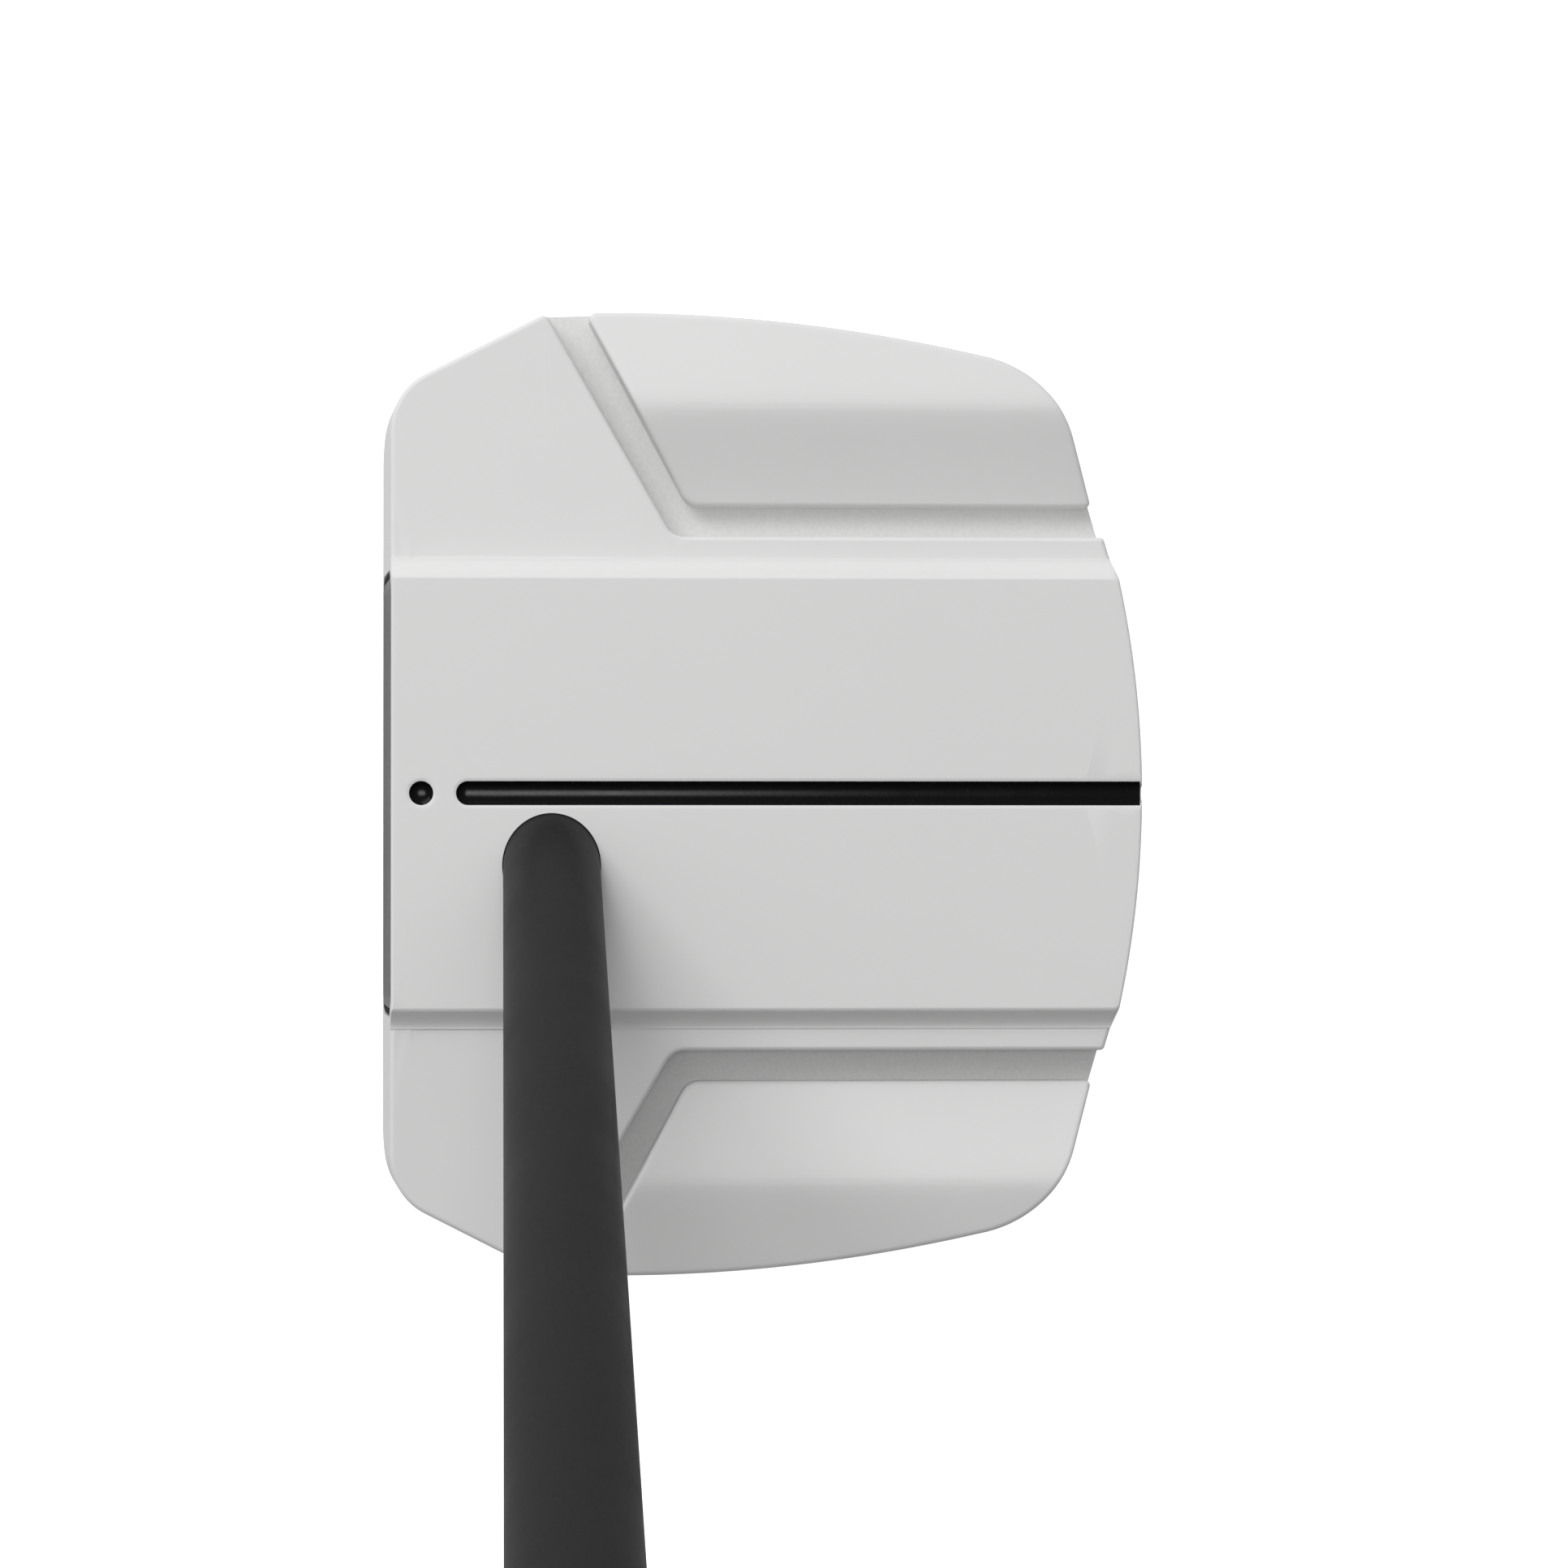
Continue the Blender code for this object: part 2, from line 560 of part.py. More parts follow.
def build_insert(head, face_frame, insert_finish, gasket_finish, pad_finish):
    """The insert in its black gasket tray, on an adhesive pad, in a recess of the face."""
    tray = GAP + GASKET_WALL
    recess = tray + GAP
    tray_floor = INSERT_THICKNESS + GAP
    pad_near = tray_floor + GASKET_WALL + GAP
    recess_floor = pad_near + PAD_THICKNESS + GAP
    cut = face_box(
        "insert_recess_cutter", INSERT_LENGTH + 2 * recess, INSERT_HEIGHT + 2 * recess,
        INSERT_CORNER + recess, -OVERSHOOT, recess_floor, parent=face_frame)
    combine(head, cut)
    face_box(
        "face_insert", INSERT_LENGTH, INSERT_HEIGHT, INSERT_CORNER,
        0.0, INSERT_THICKNESS, insert_finish, face_frame)
    gasket = face_box(
        "insert_gasket", INSERT_LENGTH + 2 * tray, INSERT_HEIGHT + 2 * tray,
        INSERT_CORNER + tray, GAP, tray_floor + GASKET_WALL, gasket_finish, face_frame)
    hollow = face_box(
        "gasket_hollow_cutter", INSERT_LENGTH + 2 * GAP, INSERT_HEIGHT + 2 * GAP,
        INSERT_CORNER + GAP, -OVERSHOOT, tray_floor, parent=face_frame)
    combine(gasket, hollow)
    face_box(
        "insert_adhesive_pad", INSERT_LENGTH - 2 * PAD_MARGIN, INSERT_HEIGHT - 2 * PAD_MARGIN,
        INSERT_CORNER, pad_near, pad_near + PAD_THICKNESS, pad_finish, face_frame)


def build_sole(head, plate_finish, screw_finish, foam_finish):
    """The pocket, its foam block, and the sole plate on a ledge with four screws."""
    middle = sole_plate_middle()
    seat = rounded_rectangle(
        SOLE_PLATE_WIDTH + 2 * GAP, SOLE_PLATE_LENGTH + 2 * GAP, SOLE_PLATE_CORNER + GAP, middle)
    combine(head, prism("sole_plate_seat_cutter", seat, -OVERSHOOT, SOLE_PLATE_THICKNESS + GAP))
    width, length = pocket_size()
    pocket = rounded_rectangle(width, length, SOLE_PLATE_CORNER - GAP, middle)
    pocket_top = SHOULDER_TOP - POCKET_ROOF
    combine(head, prism("pocket_cutter", pocket, -OVERSHOOT, pocket_top))
    outline = rounded_rectangle(SOLE_PLATE_WIDTH, SOLE_PLATE_LENGTH, SOLE_PLATE_CORNER, middle)
    plate = prism("sole_plate", outline, 0.0, SOLE_PLATE_THICKNESS, plate_finish)
    foam_width, foam_length = width - 2 * GAP, length - 2 * GAP
    foam_outline = rounded_rectangle(foam_width, foam_length, SOLE_PLATE_CORNER - 2 * GAP, middle)
    foam_low = SOLE_PLATE_THICKNESS + GAP
    foam_high = min(foam_low + FOAM_HEIGHT, pocket_top - GAP)
    prism("damping_foam", foam_outline, foam_low, foam_high, foam_finish)
    for label, (x, y) in screw_places():
        build_sole_screw(head, plate, label, (x, y, 0.0), screw_finish)


def build_sole_screw(head, plate, label, place, finish):
    """One countersunk screw through the sole plate into the ledge."""
    neck = SCREW_DIAMETER / 2
    rim = SCREW_HEAD_DIAMETER / 2
    sunk = GAP / 2
    screw = turned_solid(
        "sole_screw_" + label,
        [(rim, sunk), (rim, sunk + GAP), (neck, SCREW_HEAD_HEIGHT), (neck, SCREW_LENGTH)],
        SMALL_SIDES, finish)
    key_profile = [(KEY_DIAMETER / 2, -OVERSHOOT), (KEY_DIAMETER / 2, sunk + KEY_DEPTH)]
    key = turned_solid("key_cutter_" + label, key_profile, HEXAGON)
    hole = turned_solid(
        "screw_hole_cutter_" + label,
        [(rim + GAP, -OVERSHOOT), (rim + GAP, sunk + 2 * GAP),
         (neck + GAP, SCREW_HEAD_HEIGHT + GAP), (neck + GAP, SCREW_LENGTH + GAP)],
        SMALL_SIDES)
    for item in (screw, key, hole):
        item.location = place
    combine(screw, key)
    combine(plate, hole)
    combine(head, hole)


def build_weight(head, label, middle, weight_finish, washer_finish):
    """One screw-in weight on a rubber washer, in a blind bore from below."""
    radius = WEIGHT_DIAMETER / 2
    low = WEIGHT_RECESS
    high = low + WEIGHT_HEIGHT
    washer_low = high + GAP
    washer_high = washer_low + WASHER_THICKNESS
    weight = turned_solid(
        label + "_weight", [(radius - GAP, low), (radius, low + GAP), (radius, high)],
        ROUND_SIDES, weight_finish)
    washer = turned_ring(
        label + "_weight_washer",
        [(radius, washer_low), (radius, washer_high),
         (radius - WASHER_WALL, washer_high), (radius - WASHER_WALL, washer_low)],
        ROUND_SIDES, washer_finish)
    key_radius = WEIGHT_KEY_WIDTH / 2
    key_profile = [(key_radius, -OVERSHOOT), (key_radius, low + WEIGHT_KEY_DEPTH)]
    key = turned_solid(label + "_weight_key_cutter", key_profile, HEXAGON)
    bore = turned_solid(
        label + "_weight_bore_cutter", [(radius + GAP, -OVERSHOOT), (radius + GAP, washer_high + GAP)])
    for item in (weight, washer, key, bore):
        item.location = (middle[0], middle[1], 0.0)
    combine(weight, key)
    combine(head, bore)


# ---------------------------------------------------------------- shaft and grip
def tube_profile(low, high, inside, outside):
    """A tapered tube's section: radii given as functions of the distance along the shaft."""
    return [(outside(low), low), (outside(high), high), (inside(high), high), (inside(low), low)]


def build_shaft(head, shaft_line, shaft_finish, bond_finish, plug_finish):
    """The tapered tube, its glue sleeve in the head's bore, and the plug in its tip."""
    tip = SHAFT_TIP_HEIGHT / math.sin(LIE)
    crown = HEAD_HEIGHT / math.sin(LIE)
    tip_radius = shaft_radius(tip)
    entry_radius = shaft_radius(crown)
    sunk = entry_radius / math.tan(LIE)
    top = CLUB_LENGTH - GRIP_CAP_THICKNESS - GRIP_CAP_SPIGOT - GAP
    turned_ring(
        "shaft", tube_profile(tip, top, lambda s: shaft_radius(s) - SHAFT_WALL, shaft_radius),
        finish=shaft_finish, parent=shaft_line)
    bond_inner = entry_radius + GLUE_GAP
    bond_outer = bond_inner + BOND_WALL
    bond_low = tip
    bond_high = crown - sunk - GAP
    bond_profile = [
        (bond_outer, bond_low), (bond_outer, bond_high), (bond_inner, bond_high), (bond_inner, bond_low)]
    turned_ring("shaft_bond", bond_profile, finish=bond_finish, parent=shaft_line)
    bore_radius = bond_outer + GLUE_GAP
    bore_profile = [(bore_radius, tip - GAP), (bore_radius, crown + 4 * OVERSHOOT)]
    bore = turned_solid("shaft_bore_cutter", bore_profile, parent=shaft_line)
    combine(head, bore)
    plug_radius = tip_radius - SHAFT_WALL - GLUE_GAP
    turned_solid(
        "shaft_tip_plug", [(plug_radius, tip), (plug_radius, tip + TIP_PLUG_LENGTH)],
        SMALL_SIDES, plug_finish, shaft_line)


def grip_section(along, inset, height):
    """One ring of the grip: a thumb flat on the -X side and a rounded belly on the +X side."""
    share = (along - (CLUB_LENGTH - GRIP_LENGTH)) / GRIP_LENGTH
    swell = share * share * (3 - 2 * share)
    inside = shaft_radius(along) - inset
    sides = inside + GRIP_SIDE_LOW + (GRIP_SIDE_HIGH - GRIP_SIDE_LOW) * share
    flat = inside + GRIP_FLAT_LOW + (GRIP_FLAT_HIGH - GRIP_FLAT_LOW) * share
    belly = inside + GRIP_BELLY_LOW + (GRIP_BELLY_HIGH - GRIP_BELLY_LOW) * swell
    ring = []
    for angle in np.arange(ROUND_SIDES) * 2 * math.pi / ROUND_SIDES:
        c, s = math.cos(angle), math.sin(angle)
        reach, power = (belly, 1.0) if c > 0 else (flat, FLAT_SQUARENESS)
        x = math.copysign(abs(c) ** power, c) * reach
        y = math.copysign(abs(s) ** SIDE_SQUARENESS, s) * sides
        ring.append((x, y, height))
    return ring


def grip_layer(name, low, high, outer_inset, inner, finish, shaft_line):
    """A sleeve of the grip: outer rings at an inset, and inner rings made by a function."""
    stations = np.linspace(low, high, GRIP_STATIONS)
    outer = [grip_section(s, outer_inset, s) for s in stations]
    inside = [inner(s) for s in reversed(stations)]
    points, faces = loop_rings(outer + inside)
    return add_mesh(name, points, faces, finish, shaft_line, is_round=True)


def build_grip(shaft_line, skin_finish, core_finish, tape_finish, trim_finish):
    """Tape on the shaft, a foam core, a wrapped skin, a lower collar and an end cap."""
    low = CLUB_LENGTH - GRIP_LENGTH
    high = CLUB_LENGTH - GRIP_CAP_THICKNESS - GAP
    collar_high = low + GRIP_COLLAR_LENGTH
    sleeve_low = collar_high + GAP
    shaft_top = CLUB_LENGTH - GRIP_CAP_THICKNESS - GRIP_CAP_SPIGOT - GAP

    def over_shaft(along):
        return shaft_radius(min(along, shaft_top)) + GLUE_GAP

    def over_tape(along):
        return over_shaft(along) + GRIP_TAPE_THICKNESS + GLUE_GAP

    def tape_outside(along):
        return over_shaft(along) + GRIP_TAPE_THICKNESS

    turned_ring(
        "grip_tape", tube_profile(sleeve_low, shaft_top, over_shaft, tape_outside),
        finish=tape_finish, parent=shaft_line)
    grip_layer(
        "grip_core", sleeve_low, high, GRIP_SKIN_THICKNESS + GAP,
        lambda s: circle(over_tape(s), s), core_finish, shaft_line)
    grip_layer(
        "grip_skin", sleeve_low, high, 0.0,
        lambda s: grip_section(s, GRIP_SKIN_THICKNESS, s), skin_finish, shaft_line)
    mouth = over_shaft(low)
    collar = loop_rings([
        grip_section(low, GRIP_COLLAR_LIP, low),
        grip_section(collar_high, 0.0, collar_high),
        circle(over_shaft(collar_high), collar_high),
        circle(mouth, low)])
    add_mesh("grip_collar", collar[0], collar[1], trim_finish, shaft_line, is_round=True)
    spigot = GRIP_CAP_SPIGOT_DIAMETER / 2
    rim = GRIP_CAP_THICKNESS / 3
    cap_low = high + GAP
    spigot_low = cap_low - GRIP_CAP_SPIGOT + GAP
    vent = GRIP_VENT_DIAMETER / 2
    cap = loop_rings([
        circle(vent, spigot_low), circle(spigot, spigot_low), circle(spigot, cap_low),
        grip_section(cap_low, 0.0, cap_low), grip_section(CLUB_LENGTH, 0.0, CLUB_LENGTH - rim),
        grip_section(CLUB_LENGTH, rim, CLUB_LENGTH), circle(vent, CLUB_LENGTH)])
    add_mesh("grip_cap", cap[0], cap[1], trim_finish, shaft_line, is_round=True)


# ---------------------------------------------------------------- assembly
def face_height_y(height):
    """Where the lofted face is at a height."""
    return FACE_Y + math.tan(LOFT) * (height - LEADING_EDGE_HEIGHT)


def add_guide(name, location, rotation):
    """An empty that carries the pieces of one working direction."""
    guide = bpy.data.objects.new(name, None)
    bpy.context.scene.collection.objects.link(guide)
    guide.location = location
    guide.rotation_euler = rotation
    return guide


def build():
    """Make every piece of the club."""
    clear_scene()
    white = principled("white_paint", (0.80, 0.80, 0.80), 0.4, 0.0)
    black_enamel = principled("black_enamel", (0.01, 0.01, 0.01), 0.15, 0.0)
    insert_grey = principled("grey_anodised", (0.14, 0.14, 0.145), 0.45, 0.8)
    black_rubber = principled("black_rubber", (0.02, 0.02, 0.02), 0.8, 0.0)
    adhesive = principled("adhesive_foam", (0.08, 0.08, 0.08), 0.9, 0.0)
    stainless = principled("stainless_steel", (0.6, 0.6, 0.62), 0.35, 1.0)
    screw_steel = principled("screw_steel", (0.35, 0.35, 0.36), 0.3, 1.0)
    foam = principled("damping_foam", (0.12, 0.12, 0.13), 0.95, 0.0)
    shaft_black = principled("shaft_black", (0.045, 0.045, 0.047), 0.4, 0.5)
    epoxy = principled("epoxy", (0.3, 0.27, 0.2), 0.4, 0.0)
    plug_plastic = principled("plug_plastic", (0.5, 0.5, 0.48), 0.6, 0.0)
    grip_black = principled("grip_polyurethane", (0.03, 0.03, 0.032), 0.7, 0.0)
    grip_foam = principled("grip_foam", (0.1, 0.1, 0.1), 0.9, 0.0)
    tape_white = principled("grip_tape", (0.6, 0.58, 0.5), 0.8, 0.0)
    trim_black = principled("trim_plastic", (0.02, 0.02, 0.02), 0.4, 0.0)

    face_frame = add_guide(
        "face_frame", (0.0, face_height_y(INSERT_MID_HEIGHT), INSERT_MID_HEIGHT), (-LOFT, 0.0, 0.0))
    ground_x = shaft_crown_x() - HEAD_HEIGHT / math.tan(LIE)
    shaft_line = add_guide(
        "shaft_line", (ground_x, SHAFT_Y, 0.0), (0.0, math.pi / 2 - LIE, 0.0))

    head = head_blank(white)
    combine(head, crown_cutter())
    combine(head, face_cutter(face_frame))
    for side, end in ((-1, "toe"), (1, "heel")):
        combine(head, groove_cutter(side, end + "_groove_cutter"))
        combine(head, wing_cutter(side, end + "_wing_cutter"))
    build_insert(head, face_frame, insert_grey, black_rubber, adhesive)
    build_sight_marks(head, black_enamel)
    build_sole(head, stainless, screw_steel, foam)
    for label, middle in weight_places():
        build_weight(head, label, middle, screw_steel, black_rubber)
    build_shaft(head, shaft_line, shaft_black, epoxy, plug_plastic)
    build_grip(shaft_line, grip_black, grip_foam, tape_white, trim_black)


build()
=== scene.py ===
# %% [markdown]
# # Finishing a mallet putter
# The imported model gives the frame: every piece's place and size. This script keeps that frame as it is
# and builds finer pieces around it: a painted head, its insert and sight marks, the sole's hardware, the
# shaft and the grip. Each step says what the piece is on the real club, how it could be made, and why
# it is made this way.

# %% The frame
import math

import bmesh
import bpy
import numpy as np
from mathutils import Matrix, Vector


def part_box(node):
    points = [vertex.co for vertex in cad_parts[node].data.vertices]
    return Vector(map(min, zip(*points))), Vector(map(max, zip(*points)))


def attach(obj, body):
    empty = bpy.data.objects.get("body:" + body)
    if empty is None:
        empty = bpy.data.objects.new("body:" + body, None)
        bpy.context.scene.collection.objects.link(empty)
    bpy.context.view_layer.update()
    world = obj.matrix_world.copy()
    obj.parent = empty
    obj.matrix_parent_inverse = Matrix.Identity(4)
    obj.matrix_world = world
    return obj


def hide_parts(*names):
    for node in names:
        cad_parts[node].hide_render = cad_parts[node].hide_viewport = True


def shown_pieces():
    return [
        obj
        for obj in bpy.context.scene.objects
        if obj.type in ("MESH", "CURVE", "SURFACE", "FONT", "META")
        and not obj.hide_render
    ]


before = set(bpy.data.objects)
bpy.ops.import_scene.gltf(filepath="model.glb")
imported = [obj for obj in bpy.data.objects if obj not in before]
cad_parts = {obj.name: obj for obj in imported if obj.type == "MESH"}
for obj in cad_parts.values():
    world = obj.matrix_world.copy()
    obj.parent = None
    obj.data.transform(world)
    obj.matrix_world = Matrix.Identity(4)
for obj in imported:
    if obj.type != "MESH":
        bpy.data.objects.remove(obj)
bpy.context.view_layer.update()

MM = 0.001

# %% [markdown]
# ## Sizes
# The frame's boxes give the outer sizes. The lines inside the head's outline, such as grooves and
# crests, can't be read from a box, so they are named here, in millimetres times MM. The face looks along
# -Y, the toe is at -X, and the ground is at Z = 0.

# %% Sizes of the head
head_low, head_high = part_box("head_body")
FACE_Y = head_low.y
BACK_Y = head_high.y
HALF_WIDTH = head_high.x
HEAD_DEPTH = BACK_Y - FACE_Y
PLATE_TOP = head_high.z
WIDEST_FROM_FACE = 24.0 * MM
SIDE_RADIUS = 176.0 * MM
FACET_LENGTH = 15.9 * MM
FACET_ANGLE = math.radians(26.4)
FRONT_CORNER_RADIUS = 6.5 * MM
BACK_CORNER_RADIUS = 12.0 * MM
BACK_CORNER_IN = 5.5 * MM
BACK_CORNER_UP = 8.55 * MM
PLATE_HALF = 21.35 * MM
PLATE_BACK_RADIUS = 100.0 * MM
PLATE_BACK_STEP = 0.12 * MM
STEP_HEIGHT = 1.83 * MM
STEP_WIDTH = 1.85 * MM
SHOULDER_TOP = PLATE_TOP - 1.8 * MM
SHOULDER_SLOPE = 0.055
GROOVE_FLOOR = SHOULDER_TOP - 5.8 * MM
GROOVE_INNER = PLATE_HALF + 4.05 * MM
GROOVE_OUTER = GROOVE_INNER + 3.1 * MM
MOUTH_FROM_FACE = 16.3 * MM
MOUTH_WIDTH = 3.9 * MM
BEND_FROM_FACE = 28.9 * MM
BEND_RADIUS = 2.0 * MM
WING_INNER_TOP = SHOULDER_TOP - 3.0 * MM
CREST_X = HALF_WIDTH - 9.4 * MM
CREST_TOP = WING_INNER_TOP + 3.3 * MM
WING_OUTER_TOP = CREST_TOP - 2.6 * MM
CREST_SAG = 0.32 * MM
SIDE_CURVE_HEIGHT = 8.5 * MM
SIDE_CURVE_IN = 10.0 * MM
BACK_CURVE_IN = 7.0 * MM
LEADING_EDGE_HEIGHT = 3.0 * MM
LEADING_EDGE_IN = 1.8 * MM
LOFT = math.radians(3.0)
RIM_RADIUS = 0.48 * MM
PLATE_RIM = 0.3 * MM
print("head in mm:", [round(v / MM, 2) for v in head_high - head_low])

# %% [markdown]
# ## Two tools for every mesh
# A closed solid can be cut from a block, modelled face by face, or skinned over a grid of points. The grid
# is used all through: rows are rings round the piece, and columns run over it from its foot to its top.
# The whole grid is one numpy array, so a change of one formula reshapes the piece everywhere.

# %% Skinning a grid
def skin(rings, closed_tube=False):
    """Points and faces of the solid over a (rows, columns, 3) grid whose columns run round it.
    Face (i, j) joins rows i and i + 1 and columns j and j + 1, and the last column meets the first.
    The end rows are closed with a flat face each, or the last row meets the first in a closed tube."""
    rows, count = rings.shape[:2]
    low = np.arange(rows if closed_tube else rows - 1)[:, None] * count
    high = (low + count) % (rows * count)
    side = np.arange(count)[None]
    other = (side + 1) % count
    faces = np.stack([low + side, low + other, high + other, high + side], axis=-1)
    faces = faces.reshape(-1, 4).tolist()
    if not closed_tube:
        faces.append(list(range(count))[::-1])
        faces.append(list(range((rows - 1) * count, rows * count)))
    return rings.reshape(-1, 3), faces


def level(outline, z):
    """An outline's points, all at one height."""
    return np.column_stack([outline, np.full(len(outline), z)])


def on_circle(angles):
    """Points at these angles on a circle of radius 1."""
    return np.stack([np.cos(angles), np.sin(angles)], axis=1)


def middle_of(name):
    """The middle of a CAD piece's box seen from above, on the ground."""
    low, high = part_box(name)
    return np.array([(low.x + high.x) / 2, (low.y + high.y) / 2, 0])


def solid(name, *shells):
    """One object from (points, faces) shells: doubles merged, faces pointing outwards."""
    points, faces, start = [], [], 0
    for shell_points, shell_faces in shells:
        points.append(shell_points)
        faces += [[start + corner for corner in face] for face in shell_faces]
        start += len(shell_points)
    mesh = bpy.data.meshes.new(name)
    mesh.from_pydata(np.concatenate(points).tolist(), [], faces)
    work = bmesh.new()
    work.from_mesh(mesh)
    bmesh.ops.remove_doubles(work, verts=work.verts, dist=1e-7)
    bmesh.ops.dissolve_degenerate(work, edges=work.edges, dist=1e-8)
    bmesh.ops.recalc_face_normals(work, faces=work.faces)
    work.to_mesh(mesh)
    work.free()
    item = bpy.data.objects.new(name, mesh)
    bpy.context.scene.collection.objects.link(item)
    return item


def combine(target, tool, operation):
    """The target's mesh joined with the tool's, or with the tool's cut away; the tool is then removed."""
    step = target.modifiers.new(operation, "BOOLEAN")
    step.operation, step.solver, step.object = operation, "EXACT", tool
    shaped = target.evaluated_get(bpy.context.evaluated_depsgraph_get())
    mesh = bpy.data.meshes.new_from_object(shaped)
    target.modifiers.clear()
    target.data = mesh
    bpy.data.objects.remove(tool)
    return target


def tidy_flats(item, degrees=0.003):
    """Joins the slivers that a cut leaves in flat areas, and merges points that it left together."""
    work = bmesh.new()
    work.from_mesh(item.data)
    bmesh.ops.remove_doubles(work, verts=work.verts, dist=2e-6)
    bmesh.ops.dissolve_limit(work, angle_limit=math.radians(degrees), verts=work.verts, edges=work.edges)
    bmesh.ops.dissolve_degenerate(work, edges=work.edges, dist=1e-6)
    work.to_mesh(item.data)
    work.free()


def report(item):
    """Prints a piece's triangles and the edges that don't have exactly two faces."""
    work = bmesh.new()
    work.from_mesh(item.data)
    loose = sum(len(edge.link_faces) != 2 for edge in work.edges)
    triangles = sum(len(face.verts) - 2 for face in work.faces)
    work.free()
    print(f"{item.name}: {triangles} triangles, {loose} open edges")


def smooth(item, sharp_degrees=28.0, weighted=True):
    """Smooth shading with crisp edges above an angle, and flats kept flat by area-weighted normals."""
    item.data.shade_smooth()
    item.data.set_sharp_from_angle(angle=math.radians(sharp_degrees))
    if weighted:
        flats = item.modifiers.new("flats", "WEIGHTED_NORMAL")
        flats.keep_sharp = True
    return item


def stands_for(item, node):
    """The piece rides with the club and is shown in place of a CAD node."""
    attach(item, "root")
    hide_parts(node)
    report(item)
    return item


print("tools ready")

# %% [markdown]
# ## Outlines
# Seen from above, the head is drawn with straight lines, arcs and one shallow bow. An outline could be
# a Blender curve, but then its fillets and offsets would need operators. As an array of points, a fillet
# is an arc through a corner and an offset is a shift along each point's own inward direction.

# %% Outline tools
def fillet(before, corner, after, radius, steps=12):
    """The arc that rounds a corner: centre on the bisector at radius / sin(half angle), turned from one
    tangent point to the other."""
    before, corner, after = (np.asarray(p, float) for p in (before, corner, after))
    arms = np.stack([before - corner, after - corner])
    arms /= np.linalg.norm(arms, axis=1)[:, None]
    half = math.acos(float(np.clip(arms[0] @ arms[1], -1, 1))) / 2
    middle = arms.sum(0) / np.linalg.norm(arms.sum(0))
    centre = corner + middle * radius / math.sin(half)
    ends = corner + arms * radius / math.tan(half) - centre
    first = math.atan2(ends[0, 1], ends[0, 0])
    turn = (math.atan2(ends[1, 1], ends[1, 0]) - first + math.pi) % (2 * math.pi) - math.pi
    angles = first + turn * np.linspace(0, 1, steps + 1)
    return centre + radius * on_circle(angles)


def dense(outline, step):
    """A closed outline with more points along its long sides: its own corners stay, and points at
    multiples of the step along its length are put between them."""
    ring = np.vstack([outline, outline[:1]])
    along = np.concatenate([[0], np.cumsum(np.linalg.norm(np.diff(ring, axis=0), axis=1))])
    more = np.arange(0, along[-1], step)
    more = more[np.abs(more[:, None] - along).min(1) > step / 4]
    every = np.sort(np.concatenate([along[:-1], more]))
    return np.stack([np.interp(every, along, ring[:, k]) for k in (0, 1)], axis=1)


def inward(outline):
    """For each point of an anticlockwise outline, the step that moves both its sides in by one unit:
    the sum of the two side normals over one plus their dot product."""
    ahead = np.roll(outline, -1, axis=0) - outline
    ahead /= np.linalg.norm(ahead, axis=1)[:, None]
    normal = np.stack([-ahead[:, 1], ahead[:, 0]], axis=1)
    before = np.roll(normal, 1, axis=0)
    return (normal + before) / np.maximum(1 + (normal * before).sum(1), 0.4)[:, None]


def mirrored(half):
    """A closed outline from its +X half."""
    return np.vstack([half, (half * [-1, 1])[::-1][half[::-1, 0] > 0]])


def other_side(outline):
    """The same outline on the -X side, still anticlockwise."""
    return (outline * [-1, 1])[::-1]


def rounded_rectangle(width, length, radius, middle=(0.0, 0.0), steps=10):
    """A rectangle with four round corners."""
    corners = np.array([[1, -1], [1, 1], [-1, 1], [-1, -1]]) * [width / 2, length / 2]
    arcs = [fillet(corners[i - 1], corners[i], corners[(i + 1) % 4], radius, steps) for i in range(4)]
    return np.concatenate(arcs) + middle


# %% The head's own lines
def side_x(y):
    """Half width of the head: widest less the square of the distance from there over twice the radius."""
    return HALF_WIDTH - (y - FACE_Y - WIDEST_FROM_FACE) ** 2 / (2 * SIDE_RADIUS)


def plate_back(x):
    """The back edge of the centre plate: an arc about a point on the middle line."""
    return BACK_Y - PLATE_BACK_RADIUS + np.sqrt(PLATE_BACK_RADIUS ** 2 - x ** 2)


BACK_CORNER = np.array([HALF_WIDTH - BACK_CORNER_IN, BACK_Y - BACK_CORNER_UP])


def back_line(x):
    """The straight back edge from just inside the plate's end to the back corner."""
    inner = float(plate_back(PLATE_HALF)) - PLATE_BACK_STEP
    return inner + (x - PLATE_HALF) / (BACK_CORNER[0] - PLATE_HALF) * (BACK_CORNER[1] - inner)


def back_point(x):
    """The point of the back edge at one x."""
    return x, float(back_line(x))


MOUTH_Y = FACE_Y + MOUTH_FROM_FACE
BEND = np.array([GROOVE_INNER, FACE_Y + BEND_FROM_FACE])
WING_MOUTH_Y = MOUTH_Y + MOUTH_WIDTH
WING_BEND = np.array([GROOVE_OUTER, BEND[1] + (GROOVE_OUTER - GROOVE_INNER) / 2])
mouth = np.array([side_x(MOUTH_Y), MOUTH_Y])
wing_tip = np.array([side_x(WING_MOUTH_Y), WING_MOUTH_Y])
facet_end = np.array([side_x(FACE_Y + FACET_LENGTH), FACE_Y + FACET_LENGTH])
front_corner = facet_end - [FACET_LENGTH * math.tan(FACET_ANGLE), FACET_LENGTH]
print("groove mouth at", np.round(mouth / MM, 2), "and", np.round(wing_tip / MM, 2))

